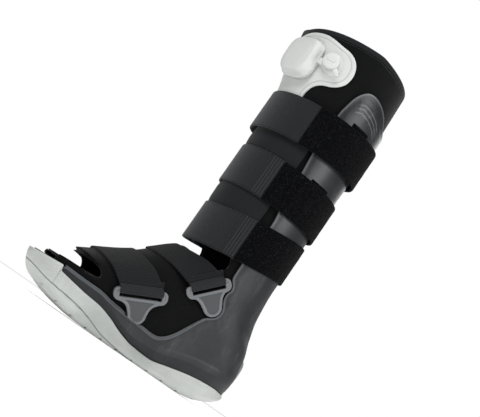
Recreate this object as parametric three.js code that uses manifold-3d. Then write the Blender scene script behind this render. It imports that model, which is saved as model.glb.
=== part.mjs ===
// Tall walking boot with a rocker sole, a moulded shell, a padded liner, straps, buckles and an air pump.
// Millimetres, +Z up, toes towards -X, the buckled side towards -Y, origin on the floor under the sole.
import * as THREE from 'three';
import { mergeVertices } from 'three/addons/utils/BufferGeometryUtils.js';
import Module from 'manifold-3d';

const wasm = await Module();
wasm.setup();

// Driving sizes
const BOOT_HEIGHT = 448;
const RIM_RISE = 4;
const RIM_DIP = 11;
const SOLE_LENGTH = 291;
const SOLE_WIDTH = 97;
const SOLE_HEIGHT = 45;
const TOE_X = -0.6117 * SOLE_LENGTH;
const LEG_DEPTH = 148;
const LEG_WIDTH = 138;
const FOOT_WIDTH = 97;
const LINER_WALL = 6;
const SHELL_WALL = 3.2;
const GAP = 0.4;
const STRAP_WIDTH = 51;
const WEBBING = 2;
const FLAP_WALL = 2.6;
const PAD_WALL = 2.2;
const BUCKLE_WALL = 3.5;
const AROUND = 30;

// Offsets outward from the liner's outer face
const SHELL_IN = GAP;
const SHELL_OUT = SHELL_IN + SHELL_WALL;
const FLAP_OUT = GAP + FLAP_WALL;
const PAD_OUT = GAP + PAD_WALL;
const SHELL_SQUARE = 2;

// Height of a level: 0 is the floor, 1 the top of the sole's wall and 2 the rim
function level(share) {
  return share < 1 ? share * SOLE_HEIGHT : SOLE_HEIGHT + (share - 1) * (BOOT_HEIGHT - SOLE_HEIGHT);
}

// A table keeps its column names beside its rows
function table(columns, rows) {
  return rows.map((row) => Object.fromEntries(columns.map((name, i) => [name, row[i]])));
}

// Sole, from the toe to the heel: along is a share of SOLE_LENGTH, half of SOLE_WIDTH / 2,
// top, tread and crease are shares of SOLE_HEIGHT
const SOLE = table(['along', 'top', 'tread', 'half', 'crease'], [
  [0.000, 0.89, 0.66, 0.12, 0.95],
  [0.020, 0.90, 0.50, 0.40, 0.96],
  [0.055, 0.89, 0.38, 0.66, 0.96],
  [0.100, 0.86, 0.29, 0.82, 0.95],
  [0.170, 0.79, 0.16, 0.95, 0.94],
  [0.235, 0.73, 0.08, 1.00, 0.92],
  [0.305, 0.69, 0.03, 0.99, 0.86],
  [0.375, 0.58, 0.01, 0.96, 0.72],
  [0.440, 0.43, 0.00, 0.93, 0.56],
  [0.510, 0.33, 0.00, 0.90, 0.49],
  [0.595, 0.30, 0.00, 0.89, 0.54],
  [0.680, 0.41, 0.00, 0.90, 0.70],
  [0.765, 0.53, 0.00, 0.91, 0.83],
  [0.845, 0.60, 0.05, 0.89, 0.89],
  [0.905, 0.62, 0.17, 0.80, 0.84],
  [0.955, 0.60, 0.30, 0.61, 0.74],
  [0.985, 0.57, 0.38, 0.36, 0.66],
  [1.000, 0.54, 0.43, 0.12, 0.62],
]);

// Leg, from the ankle to the rim: height is a level, centre and depth are shares of LEG_DEPTH, width
// of LEG_WIDTH
const LEG = table(['height', 'centre', 'depth', 'width'], [
  [1.2607, 0.189, 0.788, 0.755],
  [1.3363, 0.186, 0.793, 0.775],
  [1.4353, 0.182, 0.802, 0.800],
  [1.5353, 0.182, 0.814, 0.820],
  [1.6343, 0.182, 0.828, 0.845],
  [1.7087, 0.180, 0.852, 0.875],
  [1.7966, 0.170, 0.895, 0.920],
  [1.8710, 0.139, 0.950, 0.955],
  [1.9333, 0.115, 0.984, 0.985],
  [2.0000, 0.098, 1.000, 1.000],
]);
const RINGS = [
  2, 1.9444, 1.8888, 1.8333, 1.7888, 1.7332, 1.6665, 1.5887, 1.4998, 1.4108, 1.333, 1.283,
].map(level);

// Heel and foot, sections fanned about the crease of the instep: crest is the front or top of a
// section and base its back or bottom; x is a share of SOLE_LENGTH, z a level, half a share of
// FOOT_WIDTH / 2; wide is where it is widest, a share of crest to base, round is its squareness and
// boxy how far the shell round it is squarer still
const FOOT = table(['crestX', 'crestZ', 'baseX', 'baseZ', 'half', 'wide', 'round', 'boxy'], [
  [-0.106, 1.2507, 0.309, 1.1907, 1.060, 0.50, 2.0, 0.0],
  [-0.110, 1.2457, 0.334, 1.1285, 1.040, 0.50, 2.0, 0.0],
  [-0.113, 1.2418, 0.358, 1.0718, 1.020, 0.50, 2.1, 0.1],
  [-0.116, 1.2396, 0.367, 1.0128, 1.010, 0.50, 2.2, 0.2],
  [-0.120, 1.2374, 0.351, 0.7716, 1.000, 0.51, 2.4, 0.4],
  [-0.123, 1.2357, 0.281, 0.7268, 0.990, 0.53, 2.7, 0.6],
  [-0.127, 1.2346, 0.178, 0.6670, 0.980, 0.55, 3.0, 0.8],
  [-0.130, 1.2330, 0.068, 0.5127, 0.980, 0.58, 3.2, 1.0],
  [-0.139, 1.2296, -0.034, 0.4082, 0.980, 0.60, 3.3, 1.0],
  [-0.158, 1.2196, -0.130, 0.4679, 0.985, 0.61, 3.4, 1.0],
  [-0.212, 1.1840, -0.212, 0.6372, 0.990, 0.62, 3.5, 1.0],
  [-0.274, 1.1462, -0.281, 0.7566, 0.990, 0.62, 3.5, 1.0],
  [-0.342, 1.1140, -0.353, 0.8213, 0.970, 0.62, 3.5, 1.0],
  [-0.408, 1.0868, -0.425, 0.8811, 0.920, 0.62, 3.4, 1.0],
  [-0.466, 1.0618, -0.493, 0.9408, 0.820, 0.60, 3.2, 1.0],
  [-0.514, 1.0406, -0.538, 0.9806, 0.680, 0.55, 3.0, 1.0],
]);
const CREST_ROUND = 2.1;

// Toe bumper and heel tab of the sole
const TOE_STOPS = [0.114, 0.1, 0.08, 0.055, 0.035, 0.02, 0.008, 0.001];
const BUMPER_WALL = 4;
const BUMPER_RISE = -3;
const TAB_HEIGHT = 74;
const TAB_HALF = 15;
const TAB_WALL = 2.2;
const TAB_SPUR = 3;
const GROOVES = 12;

// Upper edge of the shell seen from the side, from the toe up to the back of the calf: x is a share
// of SOLE_LENGTH, z a level
const SHELL_EDGE = table(['x', 'z'], [
  [-0.6048, 0.9778], [-0.5155, 0.9667], [-0.4055, 0.9444], [-0.3333, 0.9444], [-0.2749, 0.8889],
  [-0.2131, 0.8556], [-0.1375, 0.8333], [-0.0687, 0.8], [-0.0309, 0.8556], [0.0034, 1.0074],
  [0.0344, 1.0471], [0.0636, 1.0893], [0.0893, 1.1266], [0.0859, 1.1663], [0.0739, 1.2134],
  [0.0687, 1.2854], [0.0722, 1.3598], [0.0756, 1.4293], [0.0653, 1.4839], [0.0498, 1.6079],
  [0.0395, 1.67], [0.0326, 1.7816], [0.0378, 1.8263], [0.055, 1.871], [0.0893, 1.8958],
  [0.1443, 1.8958], [0.2062, 1.8784], [0.268, 1.8462], [0.378, 1.8263],
]);

// Edge of the liner round the toes and round the instep, seen from the side, in the same measures
const TOE_EDGE = table(['x', 'z'], [
  [-0.4811, 1.1266], [-0.4605, 1.0769], [-0.4227, 1.0658], [-0.3849, 1.0571], [-0.3625, 1.0422],
  [-0.3557, 1.0261], [-0.3677, 1.0136], [-0.4158, 1.0087],
]);
const INSTEP_EDGE = table(['x', 'z'], [
  [-0.2131, 1.2705], [-0.1306, 1.2432], [-0.0756, 1.2295], [-0.0275, 1.2208], [0.0103, 1.2246],
  [0.0309, 1.2382], [0.0378, 1.2605], [0.0275, 1.2854], [0, 1.3002],
]);

// Calf straps: level of the centre at the front and at the back, angle of the seam from the front in
// degrees, and the offsets of the back band from the liner
const CALF_STRAPS = table(['front', 'back', 'seam', 'bandIn', 'bandOut'], [
  [1.7159, 1.7308, 60, 5.3, 8.6],
  [1.5323, 1.5273, 59, 5.3, 8.2],
  [1.3313, 1.3784, 71, 4.0, 7.0],
]);

// Hook patches on the shell: angles from the front in degrees and levels
const HOOK_PATCHES = table(['from', 'to', 'low', 'high'], [
  [94, 116, 1.6873, 1.8015],
  [92, 117, 1.4839, 1.6005],
]);
const STRAP_IN = FLAP_OUT + GAP;
const STRAP_OUT = STRAP_IN + WEBBING + 0.3;

// Foot straps and their buckles: strap width, bar ends and tip seen from the side, where the two
// strap edges cross the crest of the foot, and where these edges end on the far side; x is a share
// of SOLE_LENGTH, z a level
const FOOT_STRAP_COLUMNS = [
  'name', 'width', 'toeBar', 'heelBar', 'tip', 'toeCrest', 'heelCrest', 'toeEnd', 'heelEnd',
];
const FOOT_STRAPS = table(FOOT_STRAP_COLUMNS, [
  ['forefoot', 51, [-0.2887, 1.0174], [-0.1065, 1.0819], [-0.1409, 0.8444],
    -0.4089, -0.2749, [-0.3024, 0.8000], [-0.1443, 0.5333]],
  ['instep', 40, [-0.0378, 1.1340], [0.0687, 1.2184], [0.0825, 1.1216],
    -0.2268, -0.1375, [-0.0619, 0.6667], [0.0481, 1.0248]],
]);
const STRAP_EASE = 1;
const BUCKLE_LIFT = GAP + WEBBING + 0.5;
const BUCKLE_EAR = 5.2;
const BUCKLE_LENGTH = 31.5;
const BAR_BOTTOM = 3;
const BAR_TOP = 7;
const SLOT_BOTTOM = -4;
const TIP_RADIUS = 9.8;
const NOTCH_CLEARANCE = 3.4;

// Air pump on the front of the calf: angles from the front in degrees, drops below the rim
const PAD_ANGLE = 28;
const PAD_DROP = 88;
const PAD_TOP_DROP = 8;
const PAD_TAIL = 8;
const BULB_ANGLE = 17;
const BULB_DROP = 46.5;
const BULB_HALF = 26;
const BULB_HEIGHT = 14;
const VALVE_ANGLE = 51;
const VALVE_DROP = 39.5;
const SEAT_RADIUS = 12.5;
const SEAT_HEIGHT = 5;
const DIAL_RADIUS = 10.5;
const DIAL_HEIGHT = 6.5;
const POINTER_REACH = 20;
const POINTER_TURN = -39;

const RAD = Math.PI / 180;
const soleX = (along) => TOE_X + along * SOLE_LENGTH;
const sidePoint = ([x, z]) => new THREE.Vector2(x * SOLE_LENGTH, level(z));

// Smooth interpolation that does not overshoot, of all number columns of a table against one key
function slopes(xs, ys) {
  const steps = ys.slice(1).map((y, i) => (y - ys[i]) / (xs[i + 1] - xs[i]));
  return ys.map((_, i) => {
    if (i === 0) return steps[0];
    if (i === ys.length - 1) return steps[i - 1];
    if (steps[i - 1] * steps[i] <= 0) return 0;
    return 2 * steps[i - 1] * steps[i] / (steps[i - 1] + steps[i]);
  });
}

function sampler(rows, keys) {
  const columns = Object.keys(rows[0]).filter((name) => typeof rows[0][name] === 'number');
  const curves = columns.map((name) => {
    const ys = rows.map((row) => row[name]);
    return { name, ys, ms: slopes(keys, ys) };
  });
  return (at) => {
    let i = keys.findIndex((key) => key > at) - 1;
    if (i < 0) i = at <= keys[0] ? 0 : keys.length - 2;
    const span = keys[i + 1] - keys[i];
    const t = (at - keys[i]) / span;
    const a = (1 + 2 * t) * (1 - t) ** 2;
    const b = t * (1 - t) ** 2;
    const c = t * t * (3 - 2 * t);
    const d = t * t * (t - 1);
    return Object.fromEntries(curves.map(({ name, ys, ms }) => [
      name, a * ys[i] + b * span * ms[i] + c * ys[i + 1] + d * span * ms[i + 1],
    ]));
  };
}

const soleShares = sampler(SOLE, SOLE.map((row) => row.along));
const legShares = sampler(LEG, LEG.map((row) => level(row.height)));
const footRows = FOOT.map((row) => ({ ...row, crestZ: level(row.crestZ), baseZ: level(row.baseZ) }));
const footShares = sampler(footRows, FOOT.map((_, i) => i));

function soleAt(x) {
  const row = soleShares((x - TOE_X) / SOLE_LENGTH);
  return {
    top: row.top * SOLE_HEIGHT,
    tread: Math.max(0, row.tread * SOLE_HEIGHT),
    half: row.half * SOLE_WIDTH / 2,
    crease: row.crease * SOLE_HEIGHT,
  };
}

// A section of the padded form: crest and base points in the side view, half width and shape
function legSection(z) {
  const row = legShares(Math.min(z, BOOT_HEIGHT));
  const middle = row.centre * LEG_DEPTH;
  const reach = row.depth * LEG_DEPTH / 2;
  return {
    crest: new THREE.Vector2(middle - reach, z),
    base: new THREE.Vector2(middle + reach, z),
    half: row.width * LEG_WIDTH / 2,
    wide: 0.5,
    round: 2,
    boxy: 0,
  };
}

function footSection(row) {
  const shares = footShares(row);
  return {
    crest: new THREE.Vector2(shares.crestX * SOLE_LENGTH, shares.crestZ),
    base: new THREE.Vector2(shares.baseX * SOLE_LENGTH, shares.baseZ),
    half: shares.half * FOOT_WIDTH / 2,
    wide: shares.wide,
    round: shares.round,
    boxy: shares.boxy,
  };
}

function bootSections() {
  const leg = RINGS.map(legSection);
  return [...leg, ...FOOT.map((_, i) => footSection(i))];
}

// Point of the form's skin, moved outward by offset: angle 0 is the crest, 90 degrees the -Y side
function formPoint(section, angle, offset, square = 0) {
  const along = section.base.clone().sub(section.crest);
  const length = along.length();
  along.divideScalar(length);
  const c = Math.cos(angle);
  const s = Math.sin(angle);
  const power = 2 / (c > 0 ? CREST_ROUND : section.round + square * section.boxy);
  const reach = length + 2 * offset;
  const half = c > 0 ? section.wide * reach : (1 - section.wide) * reach;
  const run = section.wide * reach - offset - Math.sign(c) * half * Math.abs(c) ** power;
  const across = (section.half + offset) * Math.sign(s) * Math.abs(s) ** power;
  return new THREE.Vector3(section.crest.x + along.x * run, -across, section.crest.y + along.y * run);
}

// Half width of the form at a point of the side view
function sideWidth(x, z, offset, square = 0) {
  const point = new THREE.Vector2(x, z);
  let section = legSection(z);
  if (z < footSection(0).crest.y) {
    let low = 0;
    let high = FOOT.length - 1;
    for (let i = 0; i < 40; i += 1) {
      const middle = (low + high) / 2;
      const trial = footSection(middle);
      const side = trial.base.clone().sub(trial.crest).cross(point.clone().sub(trial.crest));
      if (side > 0) high = middle;
      else low = middle;
    }
    section = footSection((low + high) / 2);
  }
  const along = section.base.clone().sub(section.crest);
  const reach = along.length() + 2 * offset;
  const run = point.clone().sub(section.crest).dot(along.normalize()) + offset;
  const power = run < section.wide * reach ? CREST_ROUND : section.round + square * section.boxy;
  const half = run < section.wide * reach ? section.wide * reach : (1 - section.wide) * reach;
  const share = Math.min(1, Math.abs(run - section.wide * reach) / half);
  return (section.half + offset) * (1 - share ** power) ** (1 / power);
}

// Closed body from points and triangles, with its faces turned outward
function closedBody(points, faces) {
  let volume = 0;
  faces.forEach(([a, b, c]) => {
    volume += points[a].dot(new THREE.Vector3().crossVectors(points[b], points[c]));
  });
  const turned = volume < 0 ? faces.map(([a, b, c]) => [a, c, b]) : faces;
  const geometry = new THREE.BufferGeometry();
  geometry.setAttribute('position', new THREE.Float32BufferAttribute(points.flatMap((p) => p.toArray()), 3));
  geometry.setIndex(turned.flat());
  return geometry;
}

// Skin through loops of equal length. ends: 'ring' joins the last loop to the first, 'fan' closes
// each end on its centre, 'ribbon' closes each end between its first and second half
function loft(loops, ends) {
  const count = loops[0].length;
  const points = loops.flat();
  const faces = [];
  const rows = ends === 'ring' ? loops.length : loops.length - 1;
  for (let i = 0; i < rows; i += 1) {
    const next = (i + 1) % loops.length;
    for (let j = 0; j < count; j += 1) {
      const k = (j + 1) % count;
      faces.push([i * count + j, next * count + j, next * count + k]);
      faces.push([i * count + j, next * count + k, i * count + k]);
    }
  }
  if (ends === 'fan') {
    [0, loops.length - 1].forEach((i) => {
      const centre = points.length;
      const middle = new THREE.Vector3();
      loops[i].forEach((p) => middle.addScaledVector(p, 1 / count));
      points.push(middle);
      for (let j = 0; j < count; j += 1) {
        const edge = [i * count + j, i * count + (j + 1) % count];
        faces.push(i === 0 ? [centre, ...edge] : [centre, ...edge.reverse()]);
      }
    });
  }
  if (ends === 'ribbon') {
    [0, loops.length - 1].forEach((i) => {
      for (let j = 0; j < count / 2 - 1; j += 1) {
        const [a, b] = [i * count + j, i * count + j + 1];
        const [c, d] = [i * count + count - 2 - j, i * count + count - 1 - j];
        faces.push(i === 0 ? [a, b, c] : [a, c, b]);
        faces.push(i === 0 ? [a, c, d] : [a, d, c]);
      }
    });
  }
  return closedBody(points, faces);
}

function solid(geometry) {
  const plain = geometry.clone();
  plain.deleteAttribute('normal');
  plain.deleteAttribute('uv');
  const merged = mergeVertices(plain, 1e-4);
  return new wasm.Manifold(new wasm.Mesh({
    numProp: 3,
    vertProperties: Float32Array.from(merged.attributes.position.array),
    triVerts: Uint32Array.from(merged.index.array),
  }));
}

function surface(body) {
  const mesh = body.getMesh();
  const geometry = new THREE.BufferGeometry();
  geometry.setAttribute('position', new THREE.Float32BufferAttribute(mesh.vertProperties, 3));
  geometry.setIndex(Array.from(mesh.triVerts));
  return geometry;
}

// Flat outline pushed into a body and set in a frame of right, up and out directions
function prism(outline, depth, start = 0) {
  const geometry = new THREE.ExtrudeGeometry(outline, { depth, bevelEnabled: false, curveSegments: 6 });
  geometry.translate(0, 0, start);
  return geometry;
}

function inFrame(geometry, frame) {
  const matrix = new THREE.Matrix4().makeBasis(frame.right, frame.up, frame.out);
  matrix.setPosition(frame.origin);
  return geometry.applyMatrix4(matrix);
}

const SIDE_FRAME = {
  right: new THREE.Vector3(1, 0, 0),
  up: new THREE.Vector3(0, 0, 1),
  out: new THREE.Vector3(0, -1, 0),
  origin: new THREE.Vector3(),
};

function sideOutline(curve, corners) {
  const points = curve.map(({ x, z }) => sidePoint([x, z]));
  const smooth = new THREE.SplineCurve(points).getPoints(points.length * 2);
  return new THREE.Shape([...smooth, ...corners.map(sidePoint)]);
}

function sideCut(outline) {
  return solid(inFrame(prism(outline, 4 * SOLE_WIDTH, -2 * SOLE_WIDTH), SIDE_FRAME));
}

// The padded form as one solid, grown by offset; its rim dips at the front and at the back
function formLoops(offset, square = 0) {
  const angles = Array.from({ length: AROUND }, (_, j) => j * 2 * Math.PI / AROUND);
  return bootSections().map((section, i) => angles.map((angle) => {
    const rim = BOOT_HEIGHT + RIM_RISE - RIM_DIP * Math.cos(angle) ** 2;
    return formPoint(i === 0 ? legSection(rim) : section, angle, offset, square);
  }));
}

function formSolid(offset, square = 0) {
  return solid(loft(formLoops(offset, square), 'fan'));
}

// Heights of a panel on the leg: its ends and the rings of the form between them
function panelHeights(low, high) {
  return [low, ...RINGS.filter((z) => z > low + 2 && z < high - 2).reverse(), high];
}

// Curved panel on the leg between two angles, through the given heights
function legPanel(from, to, heights, inner, outer, steps) {
  const loops = [];
  for (let i = 0; i <= steps; i += 1) {
    const angle = (from + (to - from) * i / steps) * RAD;
    const inside = heights.map((z) => formPoint(legSection(z), angle, inner));
    const outside = heights.map((z) => formPoint(legSection(z), angle, outer));
    loops.push([...inside, ...outside.reverse()]);
  }
  return loft(loops, 'ribbon');
}

// Outsole
function soleLoop(x) {
  const { top, tread, half } = soleAt(x);
  const wall = top - tread;
  const side = [
    [0.62 * half, tread],
    [0.86 * half, tread + 0.12 * wall],
    [0.97 * half, tread + 0.42 * wall],
    [half, tread + 0.82 * wall],
    [half - 1, top],
  ];
  const right = side.map(([y, z]) => new THREE.Vector3(x, y, z));
  const left = side.map(([y, z]) => new THREE.Vector3(x, -y, z));
  return [...right, ...left.reverse()];
}

// Outline of the toe end of the sole, from the -Y side round to the +Y side, moved inward by inset
function toeOutline(inset) {
  const near = TOE_STOPS.map((along) => new THREE.Vector2(soleX(along), -soleAt(soleX(along)).half));
  const path = [...near, ...near.map((p) => new THREE.Vector2(p.x, -p.y)).reverse()];
  return path.map((point, i) => {
    const ahead = path[Math.min(i + 1, path.length - 1)];
    const behind = path[Math.max(i - 1, 0)];
    const inward = new THREE.Vector2(ahead.y - behind.y, behind.x - ahead.x).normalize();
    return point.clone().addScaledVector(inward, inset);
  });
}

function toeBumper() {
  const bumper = table(['inset', 'rise'], [
    [0.4, -9], [0, -2], [1, 0], [BUMPER_WALL - 0.8, 0], [BUMPER_WALL, -2], [BUMPER_WALL, -9],
  ]);
  const outlines = bumper.map(({ inset }) => toeOutline(inset));
  const start = soleX(TOE_STOPS[0]);
  const loops = outlines[0].map((_, i) => bumper.map(({ rise }, k) => {
    const place = outlines[k][i];
    const lip = SOLE_HEIGHT + BUMPER_RISE * Math.max(0, start - place.x) / (start - TOE_X);
    return new THREE.Vector3(place.x, place.y, lip + rise);
  }));
  return solid(loft(loops, 'fan'));
}

// Back of the heel at a height, where the form moved outward by offset is as wide as y
function heelBack(y, z, offset) {
  let low = 0.2 * SOLE_LENGTH;
  let high = 0.43 * SOLE_LENGTH;
  for (let i = 0; i < 30; i += 1) {
    const middle = (low + high) / 2;
    if (sideWidth(middle, z, offset, SHELL_SQUARE) > Math.abs(y)) low = middle;
    else high = middle;
  }
  return low;
}

function heelTab() {
  const shares = [0.297, 0.459, 0.622, 0.77, 0.919, 1];
  const loops = [];
  for (let i = 0; i <= 8; i += 1) {
    const side = i / 4 - 1;
    const place = (share, offset) => {
      const y = side * TAB_HALF * (share === 1 ? 0.85 : 1);
      const back = heelBack(y, Math.max(share, shares[1]) * TAB_HEIGHT, SHELL_OUT + GAP);
      return new THREE.Vector3(back + offset, y, share * TAB_HEIGHT);
    };
    const inside = shares.map((share) => place(share, 0));
    const outside = shares.map((share) => {
      const spur = Math.max(0, 1 - Math.abs(share - shares[4]) / shares[0]);
      return place(share, TAB_WALL + TAB_SPUR * spur);
    });
    loops.push([...inside, ...outside.reverse()]);
  }
  return solid(loft(loops, 'ribbon'));
}

function treadGroove(x, width, length) {
  const { tread } = soleAt(x);
  const slope = Math.atan2(soleAt(x + 2).tread - soleAt(x - 2).tread, 4);
  const groove = new THREE.BoxGeometry(width, length, 4.4);
  groove.rotateY(-slope);
  groove.translate(x, 0, tread);
  return solid(groove);
}

function outsole() {
  const loops = SOLE.map(({ along }) => soleLoop(soleX(along)));
  let body = solid(loft(loops, 'fan')).add(toeBumper()).add(heelTab());
  for (let i = 0; i < GROOVES; i += 1) {
    const x = soleX(0.0962 + 0.0756 * i);
    body = body.subtract(treadGroove(x, 3, 1.1 * soleAt(x).half));
  }
  return surface(body);
}

// Plan of the room inside the toe bumper, kept clear of it by gap
function toeRoom(gap) {
  const path = toeOutline(BUMPER_WALL + gap).slice(0, TOE_STOPS.length - 2);
  const far = path.map((p) => new THREE.Vector2(p.x, -p.y));
  const edge = path[0].x + gap;
  const corner = (x, y) => new THREE.Vector2(x, y);
  const outline = new THREE.Shape([
    corner(edge, -SOLE_WIDTH), corner(SOLE_LENGTH, -SOLE_WIDTH), corner(SOLE_LENGTH, SOLE_WIDTH),
    corner(edge, SOLE_WIDTH), corner(edge, far[0].y), ...far, ...[...path].reverse(),
    corner(edge, path[0].y),
  ]);
  return solid(prism(outline, 1.2 * BOOT_HEIGHT, -SOLE_HEIGHT));
}

// Shell. Its base flares from the sole up to a crease and runs into the side walls above
function baseSides(x) {
  const { top, half, crease } = soleAt(x);
  const high = crease + 16;
  const outer = sideWidth(x, high, SHELL_OUT, SHELL_SQUARE);
  const upper = Math.max(outer + 0.2, Math.min(half, outer + 2));
  const middle = Math.max(upper - 1.2, 4);
  return [[Math.min(half - 1.5, middle), top + GAP], [middle, crease], [upper, high]];
}

function shellBase() {
  const stops = SOLE.map(({ along }) => soleX(along)).slice(1, -2);
  const loops = stops.map((x) => {
    const side = baseSides(x);
    const right = side.map(([y, z]) => new THREE.Vector3(x, y, z));
    const left = side.map(([y, z]) => new THREE.Vector3(x, -y, z));
    return [...right, ...left.reverse()];
  });
  return solid(loft(loops, 'fan'));
}

// Half width of the shell's outer face at a point of the side view
function shellWidth(x, z) {
  const [low, middle, upper] = baseSides(x);
  const [from, to] = z < middle[1] ? [low, middle] : [middle, upper];
  const share = Math.min(1, (z - from[1]) / (to[1] - from[1]));
  const flare = z > upper[1] ? 0 : from[0] + (to[0] - from[0]) * share;
  return Math.max(sideWidth(x, z, SHELL_OUT, SHELL_SQUARE), flare);
}

function shell(notches) {
  const corners = [[0.45, 1.8263], [0.45, 0], [-0.65, 0], [-0.65, 0.9778]];
  const keep = sideCut(sideOutline(SHELL_EDGE, corners));
  let body = formSolid(SHELL_OUT, SHELL_SQUARE).add(shellBase());
  body = body.intersect(keep).intersect(toeRoom(GAP)).subtract(formSolid(SHELL_IN));
  notches.forEach((notch) => {
    body = body.subtract(notch);
  });
  return surface(body);
}

// Liner: one padded tube, open at the rim, the instep and the toes
function liner() {
  const outside = formLoops(0);
  const inside = formLoops(-LINER_WALL);
  const tube = solid(loft([...outside, ...inside.reverse()], 'ring'));
  const toes = sideCut(sideOutline(TOE_EDGE, [[-0.65, 1.0087], [-0.65, 1.1266]]));
  const instep = sideCut(sideOutline(INSTEP_EDGE, [[-0.2131, 1.3002]]));
  return surface(tube.subtract(toes).subtract(instep).intersect(toeRoom(2 * GAP)));
}

function shinFlap() {
  const top = BOOT_HEIGHT - PAD_DROP - PAD_TAIL - 5 * GAP;
  return legPanel(-72, 72, panelHeights(RINGS.at(-1), top), GAP, FLAP_OUT, 12);
}

function hookPatch({ from, to, low, high }) {
  const heights = [low, (low + high) / 2, high].map(level);
  return legPanel(from, to, heights, SHELL_OUT + 0.3, SHELL_OUT + 1.3, 3);
}

// Calf straps
function legBand(strap, from, to, inner, outer, steps) {
  const loops = [];
  for (let i = 0; i <= steps; i += 1) {
    const angle = (from + (to - from) * i / steps) * RAD;
    const middle = level(strap.front + (strap.back - strap.front) * (0.5 - 0.5 * Math.cos(angle)));
    const high = middle + STRAP_WIDTH / 2;
    const low = middle - STRAP_WIDTH / 2;
    const edge = (offset) => formPoint(legSection(high), angle, offset(angle));
    const [inside, outside] = [edge(inner), edge(outer)];
    const at = (point, z) => new THREE.Vector3(point.x, point.y, z);
    loops.push([at(inside, low), at(inside, high), at(outside, high), at(outside, low)]);
  }
  return loft(loops, 'ribbon');
}

function calfStrapFront(strap) {
  return legBand(strap, -strap.seam, strap.seam, () => STRAP_IN, () => STRAP_OUT, 14);
}

function calfStrapBack(strap) {
  const end = strap.seam + 0.5;
  const lift = (angle) => {
    const turned = Math.min(angle / RAD, 360 - angle / RAD) - end;
    return Math.max(0, 1 - turned / 24);
  };
  const inner = (angle) => strap.bandIn + (STRAP_IN + 0.2 - strap.bandIn) * lift(angle);
  const outer = (angle) => inner(angle) + strap.bandOut - strap.bandIn;
  return legBand(strap, end, 360 - end, inner, outer, 26);
}

// Foot buckles: a plate with a slot above and a rounded tongue below
function buckleFrame(strap) {
  const place = (seen, lift) => {
    const { x, y } = sidePoint(seen);
    return new THREE.Vector3(x, -sideWidth(x, y, lift), y);
  };
  const toe = place(strap.toeBar, BUCKLE_LIFT);
  const heel = place(strap.heelBar, BUCKLE_LIFT);
  const tip = place(strap.tip, GAP + 0.8);
  const origin = toe.clone().add(heel).multiplyScalar(0.5);
  const right = heel.sub(toe).normalize();
  const up = origin.clone().sub(tip);
  up.addScaledVector(right, -up.dot(right)).normalize();
  return { origin, right, up, out: right.clone().cross(up) };
}

function buckleOutline(width, grow) {
  const half = width / 2 + BUCKLE_EAR + grow;
  const neck = TIP_RADIUS + 1 + grow;
  const tipCentre = -BUCKLE_LENGTH + TIP_RADIUS;
  const outline = new THREE.Shape();
  outline.moveTo(-half + 5, BAR_TOP + grow);
  outline.lineTo(half - 5, BAR_TOP + grow);
  outline.quadraticCurveTo(half, BAR_TOP + grow, half, 1);
  outline.quadraticCurveTo(half, -6 - grow, half - 7, -6.5 - grow);
  outline.quadraticCurveTo(neck + 2, -9 - grow, neck, tipCentre + 3);
  outline.lineTo(TIP_RADIUS + grow, tipCentre);
  outline.absarc(0, tipCentre, TIP_RADIUS + grow, 0, -Math.PI, true);
  outline.lineTo(-neck, tipCentre + 3);
  outline.quadraticCurveTo(-neck - 2, -9 - grow, -half + 7, -6.5 - grow);
  outline.quadraticCurveTo(-half, -6 - grow, -half, 1);
  outline.quadraticCurveTo(-half, BAR_TOP + grow, -half + 5, BAR_TOP + grow);
  return outline;
}

function rectangle(shape, left, right, low, high) {
  shape.moveTo(left, low);
  shape.lineTo(right, low);
  shape.lineTo(right, high);
  shape.lineTo(left, high);
  shape.lineTo(left, low);
  return shape;
}

function buckle(strap) {
  const outline = buckleOutline(strap.width, 0);
  const half = strap.width / 2 + GAP;
  outline.holes.push(rectangle(new THREE.Path(), -half, half, SLOT_BOTTOM, BAR_BOTTOM));
  return inFrame(prism(outline, BUCKLE_WALL), buckleFrame(strap));
}

function buckleNotch(strap) {
  const cutter = prism(buckleOutline(strap.width, NOTCH_CLEARANCE), 20, -BUCKLE_LIFT - 1);
  return solid(inFrame(cutter, buckleFrame(strap)));
}

// Foot straps: looped round the bar, over the foot and down outside the shell on the far side
function strapLoop(strap) {
  const wrap = WEBBING + 0.3;
  const ring = rectangle(new THREE.Shape(), -wrap, BUCKLE_WALL + wrap, BAR_BOTTOM - wrap, BAR_TOP + wrap);
  ring.holes.push(rectangle(new THREE.Path(), -0.3, BUCKLE_WALL + 0.3, BAR_BOTTOM - 0.3, BAR_TOP + 0.3));
  const { origin, right, up, out } = buckleFrame(strap);
  const start = origin.clone().addScaledVector(right, strap.width / 2);
  const frame = { origin: start, right: out, up, out: right.clone().negate() };
  return solid(inFrame(prism(ring, strap.width), frame));
}

function crestRow(x) {
  let low = 0;
  let high = FOOT.length - 1;
  for (let i = 0; i < 30; i += 1) {
    const middle = (low + high) / 2;
    if (footSection(middle).crest.x > x * SOLE_LENGTH) low = middle;
    else high = middle;
  }
  return low;
}

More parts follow.
